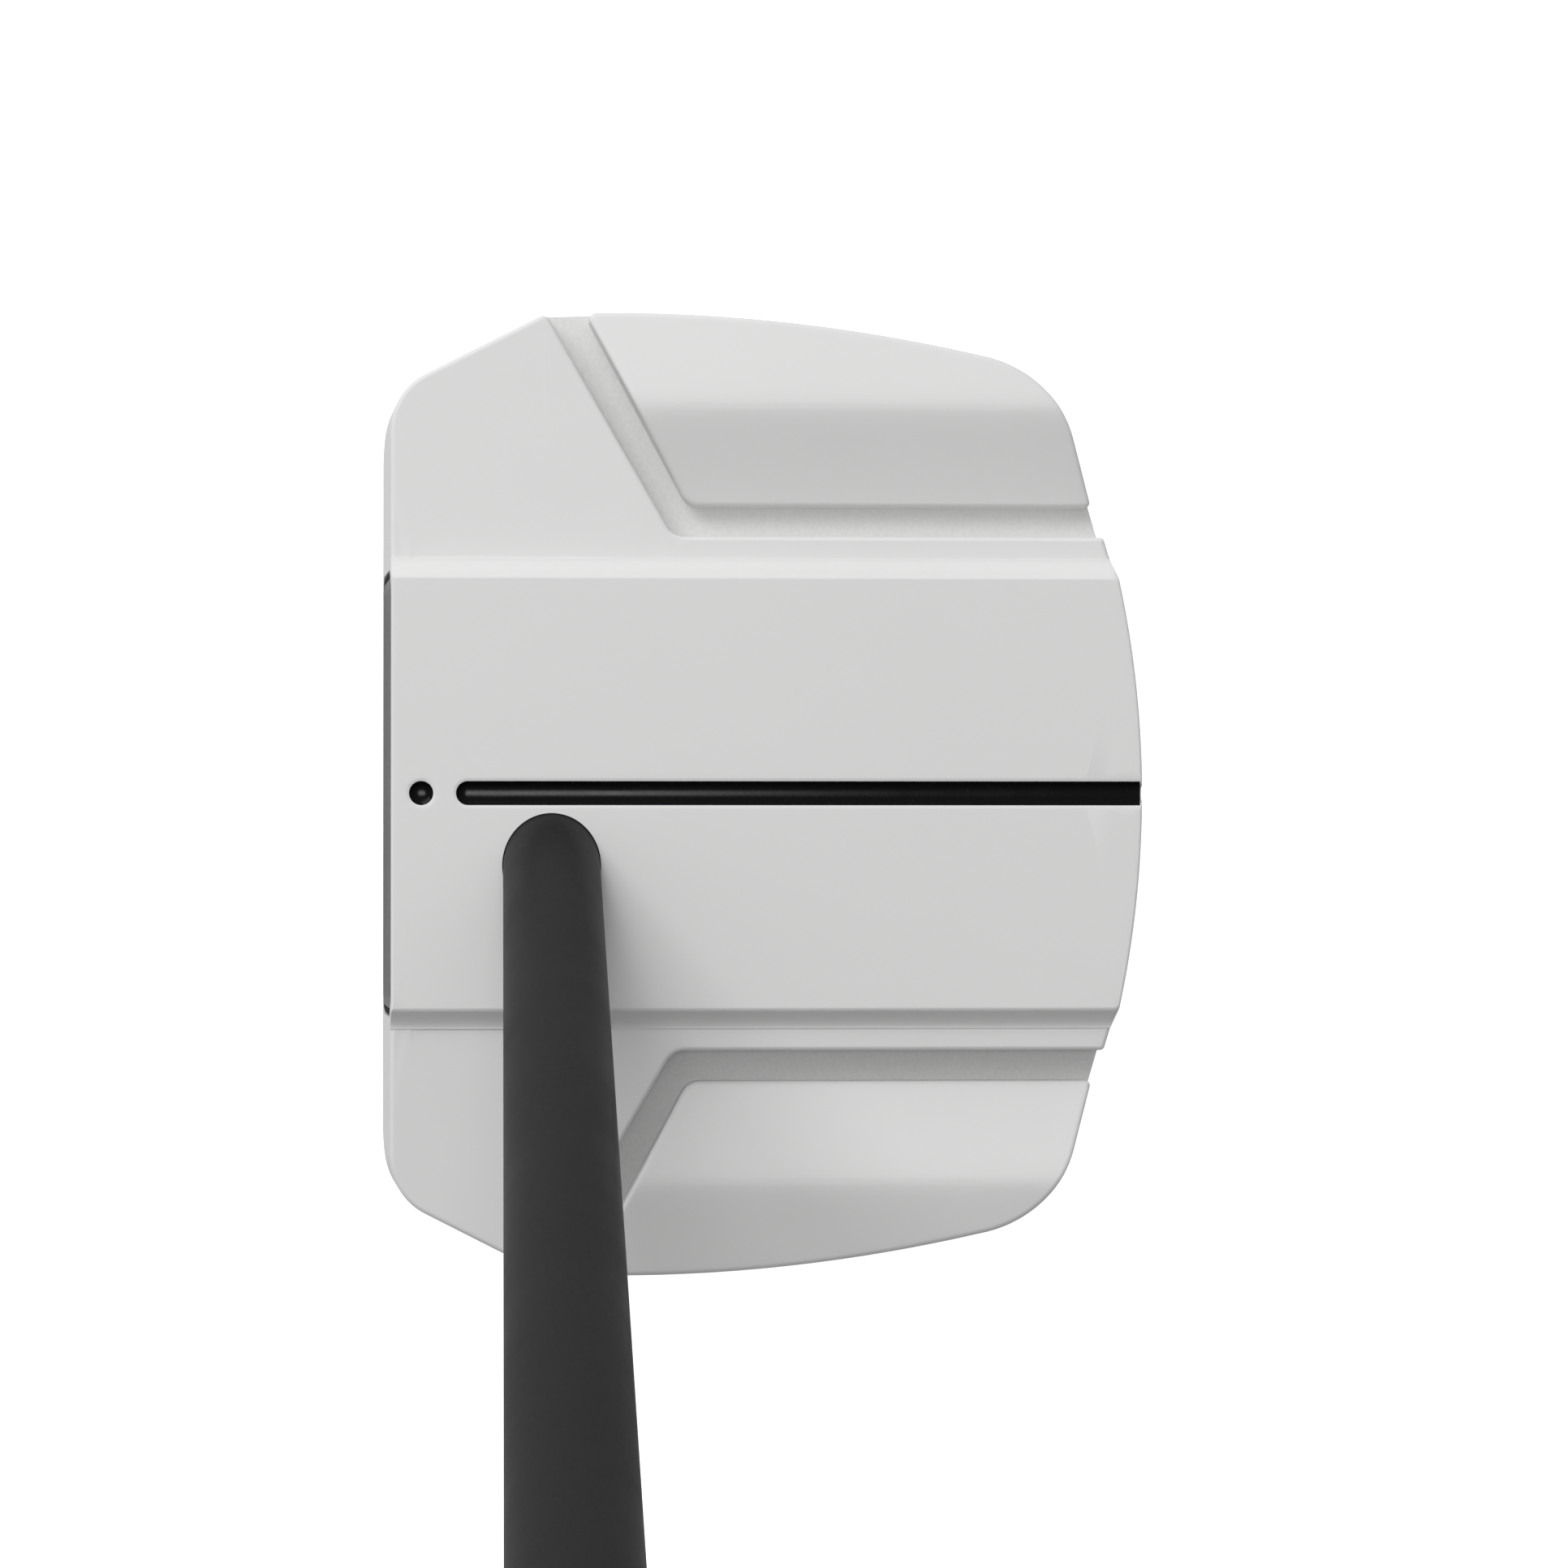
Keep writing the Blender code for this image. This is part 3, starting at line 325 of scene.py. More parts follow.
# %% [markdown]
# ## The head's walls
# The head is milled from one billet, so a mesh could be a block with cuts. But a cut leaves knife edges,
# and what shows a painted head is the thin line of light on each rounded edge. So each raised part, the
# body, the plate and the two wings, is its own block with a rolled rim, and the blocks are then joined.
# A block is a grid: round the outline one way, and the other way up the curved wall, over the rim and in
# to a spine under the middle of the top.

# %% Blocks with rolled rims
def curved_in(height, full_height, inset):
    """How far a wall has curved in at a height: a quarter ellipse below full_height, else nothing."""
    rest = np.clip(1 - height / full_height, 0, 1)
    return inset * (1 - np.sqrt(1 - rest ** 2))


def set_walls(points):
    """Gives straight walls the head's own lean: below the turn of the side each level shrinks by the
    curve there, and the front leans back with the loft, less and less towards the middle."""
    x, y, z = points[..., 0], points[..., 1], points[..., 2]
    back = curved_in(z, SIDE_CURVE_HEIGHT, BACK_CURVE_IN)
    front = curved_in(z, LEADING_EDGE_HEIGHT, LEADING_EDGE_IN)
    across = 1 - curved_in(z, SIDE_CURVE_HEIGHT, SIDE_CURVE_IN) / HALF_WIDTH
    lean = math.tan(LOFT) * np.maximum(z - LEADING_EDGE_HEIGHT, 0)
    share = np.clip(1 - (y - FACE_Y) / (FACET_LENGTH * 1.1), 0, 1)
    new_y = FACE_Y + front + (y - FACE_Y) * (1 - (front + back) / HEAD_DEPTH) + lean * share
    return np.stack([x * across, new_y, z], axis=-1)


def foot_levels(foot):
    """Heights of the rings up the curved foot: closer together where the curve turns faster."""
    turn = 1 - np.cos(np.linspace(0, math.pi / 2, 11))
    edge = 1 - np.cos(np.linspace(0, math.pi / 2, 7))
    levels = np.unique(np.concatenate([SIDE_CURVE_HEIGHT * turn, LEADING_EDGE_HEIGHT * edge]).round(7))
    return np.concatenate([[foot], levels[levels > foot + 0.05 * MM]])


def block(outline, top, spine, radius, shares, foot=0.0, drops=(), widen=None):
    """A solid on an outline, as a grid of rings. From the foot up, the rings are the wall's levels, any
    levels at given drops below the top, a quarter circle over the rim (in by r (1 - cos a), down by
    r (1 - sin a)), and steps of the way to the spine, each at the height of top(x, y). A function given
    as widen may then spread the whole grid sideways."""
    step_in = inward(outline)
    rows = [level(outline, z) for z in foot_levels(foot)]
    rows += [level(outline, top(outline) - drop) for drop in drops]
    for angle in np.linspace(0, math.pi / 2, 7):
        place = outline + step_in * radius * (1 - math.cos(angle))
        rows.append(level(place, top(place) - radius * (1 - math.sin(angle))))
    rim = outline + step_in * radius
    for share in shares:
        place = rim + share * (spine(rim) - rim)
        rows.append(level(place, top(place)))
    grid = np.stack(rows)
    if widen is not None:
        grid = widen(grid)
    return skin(set_walls(grid))


def spine_at(x, low, high):
    """A spine along Y at one x: each point goes to the same depth on it, kept between its ends."""
    return lambda rim: np.stack([np.full(len(rim), x), np.clip(rim[:, 1], low, high)], axis=1)


print("rings up a wall:", len(foot_levels(0.0)))

# %% [markdown]
# ## Body, plate and wings
# The body carries two shoulders that fall a little outwards. The centre plate stands on it, as wide as
# a golf ball so that the player can aim with it, and its sides sweep down to the shoulders in a hollow
# curve. Each wing is a low ridge, and a groove with a flat floor parts it from the body.

# %% The body with its shoulders
def shoulder_height(places):
    """Shoulder height: level under the plate, then falling by the slope times the distance out."""
    out = np.maximum(np.abs(places[:, 0]) - PLATE_HALF, 0)
    return SHOULDER_TOP - SHOULDER_SLOPE * out


body_back = back_point(GROOVE_INNER)
body_half = np.vstack([
    [(0.0, FACE_Y)],
    fillet((0.0, FACE_Y), front_corner, facet_end, FRONT_CORNER_RADIUS, 24),
    fillet(front_corner, mouth, BEND, 0.8 * MM),
    fillet(mouth, BEND, body_back, BEND_RADIUS, 16),
    fillet(BEND, body_back, back_point(PLATE_HALF), 0.5 * MM),
    [back_point(PLATE_HALF + 0.5 * MM)],
    [(0.8 * PLATE_HALF, BACK_Y - 4 * MM), (0.0, BACK_Y - 4 * MM)]])
body = block(dense(mirrored(body_half), 1.2 * MM), shoulder_height,
             spine_at(0.0, FACE_Y + 6 * MM, BACK_Y - 9 * MM), RIM_RADIUS, (0.3, 0.6, 0.9))
print("body points:", len(body[0]))

# %% The centre plate
def plate_height(places):
    """The plate is flat."""
    return np.full(len(places), PLATE_TOP)


def plate_widening(z):
    """How many times wider the plate is at a height: its side sweeps out by STEP_WIDTH times
    1 - (1 - drop / STEP_HEIGHT) to the power 1 / 1.8, which meets the shoulder without a corner."""
    drop = np.clip((PLATE_TOP - z) / STEP_HEIGHT, 0, 1)
    return 1 + STEP_WIDTH / PLATE_HALF * (1 - (1 - drop) ** (1 / 1.8))


def widened(grid):
    """The plate's grid with its sides swept out. Its back stays on the plate's own arc, and from the
    arc's end it runs straight to where the sweep's foot meets the head's back line."""
    grid = grid.copy()
    grid[..., 0] *= plate_widening(grid[..., 2])
    out = np.abs(grid[..., 0])
    foot = PLATE_HALF + STEP_WIDTH
    end, foot_end = float(plate_back(PLATE_HALF)), float(back_line(foot)) - 0.02 * MM
    limit = np.where(out > PLATE_HALF, end + (out - PLATE_HALF) / STEP_WIDTH * (foot_end - end),
                     plate_back(np.minimum(out, PLATE_HALF)))
    grid[..., 1] = np.minimum(grid[..., 1], limit)
    return grid


across = np.linspace(PLATE_HALF - 1.2 * MM, 0.0, 24)
plate_end = (PLATE_HALF, float(plate_back(PLATE_HALF)))
plate_half = np.vstack([
    [(0.0, FACE_Y + 0.03 * MM), (PLATE_HALF, FACE_Y + 0.03 * MM)],
    fillet((PLATE_HALF, 0.0), plate_end, (across[0], float(plate_back(across[0]))), 0.7 * MM),
    np.stack([across, plate_back(across)], axis=1)])
plate_outline = dense(mirrored(plate_half), 1.2 * MM)
sweep = STEP_HEIGHT * (1 - (1 - np.linspace(1, 0.04, 12)) ** 1.8)
plate = block(plate_outline, plate_height, spine_at(0.0, FACE_Y + 6 * MM, BACK_Y - 6 * MM),
              PLATE_RIM, (0.1, 0.5, 0.9), 0.03 * MM, sweep[sweep > 0.5 * MM], widened)
print("plate points:", len(plate[0]))

# %% The two wings
def wing_height(places):
    """A ridge with a soft crest: the mean of two slopes less the root of half their difference squared
    plus the crest's sag squared."""
    out = np.abs(places[:, 0])
    rise = CREST_TOP - WING_INNER_TOP
    inner = WING_INNER_TOP + rise * (out - GROOVE_OUTER) / (CREST_X - GROOVE_OUTER)
    outer = CREST_TOP - (CREST_TOP - WING_OUTER_TOP) * (out - CREST_X) / (HALF_WIDTH - CREST_X)
    return (inner + outer) / 2 - np.sqrt(((inner - outer) / 2) ** 2 + CREST_SAG ** 2)


wing_back = back_point(GROOVE_OUTER)
corner_arc = fillet((HALF_WIDTH, BACK_Y - HEAD_DEPTH / 2), BACK_CORNER, back_point(PLATE_HALF),
                    BACK_CORNER_RADIUS, 28)
depths = np.linspace(WING_MOUTH_Y + 1.6 * MM, corner_arc[0, 1], 40)[:-1]
shares = (depths - depths[0]) / (corner_arc[0, 1] - depths[0])
offset = corner_arc[0, 0] - side_x(corner_arc[0, 1])
side_points = np.stack([side_x(depths) + offset * shares ** 2, depths], axis=1)
wing_outline = dense(np.vstack([
    fillet(WING_BEND, wing_tip, side_points[0], 0.7 * MM),
    side_points, corner_arc,
    fillet(corner_arc[-1], wing_back, WING_BEND, 0.5 * MM),
    fillet(wing_back, WING_BEND, wing_tip, BEND_RADIUS, 16)]), 1.0 * MM)
wing_shares = (0.05, 0.2, 0.38, 0.54, 0.68, 0.78, 0.86, 0.92, 0.96, 0.985)
wings = [block(line, wing_height, spine_at(x, WING_BEND[1] - 0.5 * MM, BACK_Y - 12 * MM),
               RIM_RADIUS, wing_shares)
         for line, x in ((wing_outline, CREST_X), (other_side(wing_outline), -CREST_X))]
print("wing points:", len(wings[0][0]))

# %% [markdown]
# ## Groove floors
# Between body and wing the metal is only as high as the groove's floor. A strip of that height,
# a little wider than the groove, joins the blocks. Its ends stay a hair inside the outline, so that no two
# walls lie in one plane where the blocks are joined.

# %% The floor strips
def band(distance, wall_bend, wall_mouth_y):
    """A wall line of the groove moved sideways: along the slant, round the bend, past the back."""
    slope = (wall_bend[1] - wall_mouth_y) / (side_x(wall_mouth_y) - wall_bend[0])
    shift = distance * (math.hypot(1, slope) - slope)
    bend = wall_bend + [distance, shift]
    start = bend + np.array([1, -slope]) * (HALF_WIDTH + 3 * MM - bend[0])
    past = (bend[0], BACK_Y)
    return np.vstack([[start], fillet(start, bend, past, BEND_RADIUS), [past]])


strip = np.vstack([band(1.5 * MM, WING_BEND, WING_MOUTH_Y), band(-1.5 * MM, BEND, MOUTH_Y)[::-1]])
strip = dense(strip, 0.8 * MM)
strip[:, 0] = np.minimum(strip[:, 0], side_x(strip[:, 1]) - 0.05 * MM)
strip[:, 1] = np.clip(strip[:, 1], MOUTH_Y, back_line(strip[:, 0]) - 0.05 * MM)
strip = strip[np.linalg.norm(np.roll(strip, -1, axis=0) - strip, axis=1) > 0.05 * MM]


def floor_strip(outline):
    """The strip's grid: the curved foot's rings, then one at the floor's height."""
    heights = np.append(foot_levels(0.04 * MM), GROOVE_FLOOR)
    return skin(set_walls(np.stack([level(outline, z) for z in heights])))


floors = [floor_strip(strip), floor_strip(other_side(strip))]
print("strip points:", len(strip))

# %% The blocks joined
head = solid("head_painted", body)
combine(head, solid("raised", plate, *wings), "UNION")
combine(head, solid("floors", *floors), "UNION")
report(head)

# %% [markdown]
# ## What is cut into the head
# These are machined after the outline on the real head too: the insert's recess in the face, the two sight
# marks with a ball-nosed cutter, the bore for the shaft, and from below the sole plate's seat, the pocket
# and the bores of screws and weights. Each is a solid of air taken away by an exact Boolean.

# %% Directions of the face and of the shaft
insert_low, insert_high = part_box("face_insert")
INSERT_LENGTH = insert_high.x - insert_low.x
INSERT_HEIGHT = 18.6 * MM
INSERT_THICKNESS = 4.0 * MM
INSERT_CORNER = 2.5 * MM
INSERT_MIDDLE_Z = (insert_low.z + insert_high.z) / 2
RECESS_WALL = 0.9 * MM
RECESS_DEPTH = 6.1 * MM
LIE = math.radians(70.0)
LEAN = math.pi / 2 - LIE
CLUB_LENGTH = 889.0 * MM
SHAFT_ON_CROWN_X = 7.1245 * MM
SHAFT_X = SHAFT_ON_CROWN_X - PLATE_TOP / math.tan(LIE)
SHAFT_Y = -20.7 * MM
TIP_DIAMETER = 9.4 * MM
TIP_ALONG = 5.5 * MM / math.sin(LIE)
TAPER = 0.0066
face_turn = np.array([[1, 0, 0],
                      [0, math.cos(LOFT), math.sin(LOFT)],
                      [0, -math.sin(LOFT), math.cos(LOFT)]])
face_lean = math.tan(LOFT) * (INSERT_MIDDLE_Z - LEADING_EDGE_HEIGHT)
face_place = np.array([0, FACE_Y + face_lean, INSERT_MIDDLE_Z])
shaft_turn = np.array([[math.cos(LEAN), 0, math.sin(LEAN)],
                       [0, 1, 0],
                       [-math.sin(LEAN), 0, math.cos(LEAN)]])
shaft_place = np.array([SHAFT_X, SHAFT_Y, 0])


def on_face(points):
    """From the face's own axes (along it, into the head, up it) to the frame."""
    return points @ face_turn.T + face_place


def on_shaft(points):
    """From the shaft's own axes (away from the thumbs, back, up the shaft) to the frame."""
    return points @ shaft_turn.T + shaft_place


def put(shell, place):
    """A shell's points moved by a function, its faces kept."""
    return place(shell[0]), shell[1]


def shifted(shell, by):
    """A shell's points moved by one step, its faces kept."""
    return shell[0] + by, shell[1]


def shaft_radius(along):
    """Half of the tip's diameter plus the taper times the length from the tip."""
    return (TIP_DIAMETER + TAPER * np.maximum(along - TIP_ALONG, 0)) / 2


print("insert in mm:", round(INSERT_LENGTH / MM, 2), "by", round(INSERT_HEIGHT / MM, 2))

# %% Turned, drawn and extruded shells
def turned(profile, sides=64, tube=False):
    """A shell turned about Z: ring i has the profile's radius i at its height i."""
    angles = np.arange(sides) * 2 * math.pi / sides
    profile = np.asarray(profile, float)
    flat = profile[:, None, :1] * on_circle(angles)[None]
    heights = np.broadcast_to(profile[:, 1][:, None, None], flat.shape[:2] + (1,))
    return skin(np.concatenate([flat, heights], axis=2), tube)


def extruded(outline, levels):
    """An outline carried up Z: one ring at each level."""
    return skin(np.stack([level(outline, z) for z in levels]))


def through_face(outline, depths):
    """An outline on the face (along, up) carried into the head to each depth."""
    rows = [np.stack([outline[:, 0], np.full(len(outline), d), outline[:, 1]], axis=1) for d in depths]
    points, faces = skin(np.stack(rows))
    return on_face(points), faces


MARK_HALF = 1.2 * MM
LINE_START = FACE_Y + 7.5 * MM
DOT_Y = FACE_Y + 4.1 * MM
EDGE_ROUND = 0.9 * MM
EDGE_TURN = math.radians(25.0)
LINE_RADIUS = MARK_HALF - EDGE_ROUND * (1 - math.sin(EDGE_TURN))
FILL_DROP = EDGE_ROUND * (1 - math.cos(EDGE_TURN))


def round_nosed(start, end):
    """The middle line's two ends as an outline of half width LINE_RADIUS: a half circle about the start,
    and, where the end lies further back, straight sides to it."""
    half_circle = LINE_RADIUS * on_circle(np.linspace(math.pi, 2 * math.pi, 25))
    nose, tail = half_circle + [0, start], -half_circle + [0, end]
    return np.vstack([nose, tail] if end > start else [nose[:-1], tail[:-1]])


def mark_cut(outline, spine_low, spine_high):
    """The air of a sight mark: from high above, round the edge it leaves on the plate, down the wall,
    and over the round bottom: a share s of the way in, the floor is sqrt(2 s - s s) of its depth down."""
    out = -inward(outline)
    rows = [level(outline + out * EDGE_ROUND, PLATE_TOP + 2 * MM)]
    for angle in np.linspace(0, math.pi / 2, 7):
        place = outline + out * EDGE_ROUND * (1 - math.sin(angle))
        rows.append(level(place, PLATE_TOP - EDGE_ROUND * (1 - math.cos(angle))))
    spine = spine_at(0.0, spine_low, spine_high)(outline)
    for share in (0.1, 0.25, 0.45, 0.7, 0.97):
        drop = EDGE_ROUND + 0.75 * LINE_RADIUS * math.sqrt(2 * share - share ** 2)
        rows.append(level(outline + (spine - outline) * share, PLATE_TOP - drop))
    return skin(np.stack(rows)[::-1])


line_outline = round_nosed(LINE_START + MARK_HALF, BACK_Y + 3 * MM)
line_cut = mark_cut(line_outline, LINE_START + MARK_HALF, BACK_Y + 3 * MM)
dot_cut = mark_cut(round_nosed(DOT_Y, DOT_Y), DOT_Y, DOT_Y)
print("shells ready")

# %% Cutting the head
ground_to_crown = PLATE_TOP / math.sin(LIE)
entry_radius = float(shaft_radius(ground_to_crown))
glue_top = ground_to_crown - 2 * entry_radius / math.tan(LIE) - 0.9 * MM
bore_wide = entry_radius + 0.7 * MM
bore_tight = entry_radius + 0.09 * MM
bore = put(turned([(bore_wide, TIP_ALONG - 0.3 * MM), (bore_wide, glue_top),
                   (bore_tight, glue_top), (bore_tight, ground_to_crown + 12 * MM)], 96), on_shaft)
recess = through_face(
    rounded_rectangle(INSERT_LENGTH + 2 * RECESS_WALL, INSERT_HEIGHT + 2 * RECESS_WALL,
                      INSERT_CORNER + RECESS_WALL),
    (-4 * MM, RECESS_DEPTH + 0.6 * MM))
sole_low, sole_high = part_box("sole_plate")
sole_middle = middle_of("sole_plate")[:2]
sole_size = np.array([sole_high.x - sole_low.x, sole_high.y - sole_low.y])
SEAT_GAP = 0.3 * MM
SOLE_CORNER = 6.0 * MM
seat = extruded(rounded_rectangle(*(sole_size + 2 * SEAT_GAP), SOLE_CORNER + SEAT_GAP, sole_middle),
                (-3 * MM, sole_high.z + SEAT_GAP))
pocket = extruded(rounded_rectangle(*(sole_size - 14 * MM), SOLE_CORNER - SEAT_GAP, sole_middle),
                  (0.5 * MM, SHOULDER_TOP - 4.2 * MM))
screw_middles = {label: middle_of("sole_screw_" + label)
                 for label in ("front_toe", "front_heel", "back_toe", "back_heel")}
NECK, HEAD_RIM, HEAD_RISE, SUNK = 1.5 * MM, 2.6 * MM, 1.5 * MM, 0.15 * MM
hole_profile = [(HEAD_RIM + 0.12 * MM, -3 * MM), (HEAD_RIM + 0.12 * MM, SUNK + 0.4 * MM),
                (NECK + 0.3 * MM, HEAD_RISE + 0.3 * MM), (NECK + 0.3 * MM, 8.3 * MM)]
screw_holes = [shifted(turned(hole_profile, 48), middle) for middle in screw_middles.values()]
weight_middles = {end: middle_of(end + "_weight") for end in ("toe", "heel")}
weight_low, weight_high = (corner.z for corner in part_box("toe_weight"))
WEIGHT_RADIUS = 6.5 * MM
washer_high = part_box("toe_weight_washer")[1].z
weight_bore = turned([(WEIGHT_RADIUS + 0.7 * MM, -1 * MM), (WEIGHT_RADIUS + 0.3 * MM, 0.45 * MM),
                      (WEIGHT_RADIUS + 0.3 * MM, washer_high + 0.3 * MM)], 64)
weight_bores = [shifted(weight_bore, middle) for middle in weight_middles.values()]
combine(head, solid("cuts", recess, bore, seat, line_cut, dot_cut, *weight_bores), "DIFFERENCE")
combine(head, solid("deep_cuts", pocket, *screw_holes), "DIFFERENCE")
tidy_flats(head)
smooth(head)
stands_for(head, "head_body")

# %% [markdown]
# ## Insert and its tray
# The striking insert is an aluminium plate whose face is milled with fine level lines, so that the ball
# grips. The lines could be a bump pattern, but low light shows whether they are real, so they are
# in the mesh: the grid's rows are moved in and out by a smooth wave of the height.

# %% The insert
def milled_panel(width, height, corner, line_pitch, line_depth, thickness):
    """A grid over the panel: columns along it are kept inside the rounded outline by shortening each row
    to the outline's own half length there, rows are heights, and depth follows the milled wave."""
    rows = int(round(height / line_pitch * 8))
    up = np.linspace(-height / 2, height / 2, rows + 1)
    past = np.clip(np.abs(up) - (height / 2 - corner), 0, corner)
    half = width / 2 - corner + np.sqrt(corner ** 2 - past ** 2)
    along = np.linspace(-1, 1, 31)
    wave = line_depth * (1 - np.cos(2 * math.pi * up / line_pitch)) / 2
    wave = wave * np.clip((height / 2 - np.abs(up)) / (0.6 * MM), 0, 1)
    x = half[:, None] * along
    z = np.broadcast_to(up[:, None], x.shape)
    front = np.stack([x, np.broadcast_to(wave[:, None], x.shape), z], axis=-1)
    back = np.stack([x, np.full(x.shape, thickness), z], axis=-1)
    return sheet_pair(front, back)


def sheet_pair(front, back):
    """Points and faces of the solid between two equal grids: both sheets, and a wall round their edge."""
    rows, columns = front.shape[:2]
    index = np.arange(rows * columns).reshape(rows, columns)
    quads = np.stack([index[:-1, :-1], index[:-1, 1:], index[1:, 1:], index[1:, :-1]], axis=-1)
    quads = quads.reshape(-1, 4)
    rim = np.concatenate([index[0, :-1], index[:-1, -1], index[-1, :0:-1], index[:0:-1, 0]])
    after = np.roll(rim, -1)
    size = rows * columns
    wall = np.stack([rim, rim + size, after + size, after], axis=1)
    faces = quads.tolist() + (quads[:, ::-1] + size).tolist() + wall.tolist()
    return np.concatenate([front.reshape(-1, 3), back.reshape(-1, 3)]), faces


MILL_PITCH, MILL_DEPTH = 0.9 * MM, 0.12 * MM
insert = solid("insert_milled", put(milled_panel(
    INSERT_LENGTH, INSERT_HEIGHT, INSERT_CORNER, MILL_PITCH, MILL_DEPTH, INSERT_THICKNESS), on_face))
smooth(insert, 40, weighted=False)
stands_for(insert, "face_insert")

# %% The gasket tray
TRAY_SECTION = ((0.3, 4.3), (0.1, 0.5), (0.14, 0.14), (0.4, 0.02), (0.72, 0.1), (0.85, 0.3), (0.85, 4.9))


def tray_ring(out, depth):
    """The insert's outline moved out, at a depth into the head; both are in millimetres."""
    wider = 2 * (out - 0.02) * MM
    outline = rounded_rectangle(INSERT_LENGTH + wider, INSERT_HEIGHT + wider, INSERT_CORNER + out * MM)
    return through_face(outline, (depth * MM,))[0]


tray = solid("gasket_tray", skin(np.stack([tray_ring(out, depth) for out, depth in TRAY_SECTION])))
smooth(tray, 45)
stands_for(tray, "insert_gasket")

# %% [markdown]
# ## Black in the sight marks
# The marks are filled by hand with enamel and wiped, so each fill is a shallow pool that climbs the
# walls a little: nearly flat in the middle and steeper at its edge. That small curve is what draws a thin
# line of light along it, so the pool is modelled, not painted on the plate.

# %% The two fills
POOL_CURVE = 8.0 * MM
POOL_CLIMB = 0.12 * MM


def pool(outline, spine_low, spine_high, back_end=np.inf):
    """A fill: its underside follows the mark's floor and rounded edge with a small gap, up to where the
    edge has turned to EDGE_TURN. Its top falls from there by POOL_CLIMB (1 - s to the fourth) plus the
    sag of an arc of radius POOL_CURVE, where s is 1 at the edge and 0 on the spine."""
    gap = 0.02 * MM
    out = -inward(outline)
    spine = spine_at(0.0, spine_low, spine_high)(outline)
    rows = [(outline + (spine - outline) * share - out * gap * (1 - share),
             EDGE_ROUND + 0.72 * LINE_RADIUS * math.sqrt(2 * share - share ** 2))
            for share in (0.97, 0.6, 0.3, 0.1, 0.0)]
    rows += [(outline + out * (EDGE_ROUND * (1 - math.sin(turn)) - gap), EDGE_ROUND * (1 - math.cos(turn)))
             for turn in np.linspace(math.pi / 2, EDGE_TURN, 6)[1:]]
    brim = rows[-1][0]
    rows += [(brim + (spine - brim) * (1 - left), FILL_DROP + POOL_CLIMB * (1 - left ** 4)
              + MARK_HALF ** 2 * (1 - left ** 2) / (2 * POOL_CURVE))
             for left in (0.96, 0.9, 0.82, 0.72, 0.6, 0.46, 0.32, 0.18, 0.03)]
    grid = np.stack([level(place, PLATE_TOP - drop) for place, drop in rows])
    grid[..., 1] = np.minimum(grid[..., 1], back_end)
    return skin(grid)


line_fill = solid("sight_line_enamel",
                  pool(line_outline, LINE_START + MARK_HALF, BACK_Y, BACK_Y - 0.25 * MM))
dot_fill = solid("sight_dot_enamel", pool(round_nosed(DOT_Y, DOT_Y), DOT_Y, DOT_Y))
for fill, node in ((line_fill, "sight_line_fill"), (dot_fill, "sight_dot_fill")):
    smooth(fill, 50, weighted=False)
    stands_for(fill, node)

# %% [markdown]
# ## The sole
# A stainless plate closes the pocket, held by four countersunk screws, and a round weight sits near each
# end. They could stay as packed, but their flat facets show on round rims, so they are turned and
# extruded again with finer rings and small bevels, in the same places.

# %% Plate, screws and weights
def bevelled(outline, low, high, bevel):
    """An outline carried up Z with both edges taken off at 45 degrees."""
    step_in = inward(outline) * bevel
    levels = ((1, low), (0, low + bevel), (0, high - bevel), (1, high))
    return skin(np.stack([level(outline + step_in * k, z) for k, z in levels]))


sole = solid("sole_plate_brushed", bevelled(
    dense(rounded_rectangle(*sole_size, SOLE_CORNER, sole_middle), 4 * MM),
    sole_low.z, sole_high.z, 0.25 * MM))
combine(sole, solid("sole_holes", *screw_holes), "DIFFERENCE")
smooth(sole)
stands_for(sole, "sole_plate")


def key_hole(width, depth_z):
    """A hexagon of air from below the ground up to a depth, with a cone above it for the drill's point."""
    hexagon = width / 2 * on_circle(np.arange(6) * math.pi / 3)
    return skin(np.stack([level(hexagon * k, z) for k, z in (
        (1, -3 * MM), (1, depth_z), (0.02, depth_z + 0.15 * width))]))


def turned_fastener(node, profile, sides, key, middle):
    """A screw or weight turned from its profile, with a key hole from below, in place of its node."""
    item = solid(node + "_turned", shifted(turned(profile, sides), middle))
    combine(item, solid("key", shifted(key, middle)), "DIFFERENCE")
    smooth(item)
    stands_for(item, node)


screw_profile = [(HEAD_RIM - 0.1 * MM, SUNK), (HEAD_RIM, SUNK + 0.1 * MM), (HEAD_RIM, SUNK + 0.3 * MM),
                 (NECK, HEAD_RISE), (NECK, 7.6 * MM), (NECK - 0.4 * MM, 8.0 * MM)]
weight_profile = [(WEIGHT_RADIUS - 1.0 * MM, weight_low + 0.2 * MM), (WEIGHT_RADIUS - 0.8 * MM, weight_low),
                  (WEIGHT_RADIUS - 0.3 * MM, weight_low), (WEIGHT_RADIUS, weight_low + 0.3 * MM),
                  (WEIGHT_RADIUS, weight_high - 0.3 * MM), (WEIGHT_RADIUS - 0.3 * MM, weight_high)]
for label, middle in screw_middles.items():
    turned_fastener("sole_screw_" + label, screw_profile, 48, key_hole(2 * MM, SUNK + 0.7 * MM), middle)
for end, middle in weight_middles.items():
    turned_fastener(end + "_weight", weight_profile, 72, key_hole(4 * MM, weight_low + 2 * MM), middle)

# %% [markdown]
# ## The shaft
# A putter shaft is a steel tube drawn to a slow taper and painted satin black. A cone primitive would do,
# but a turned grid lets the wall, the open end and the rolled edge be one closed surface.

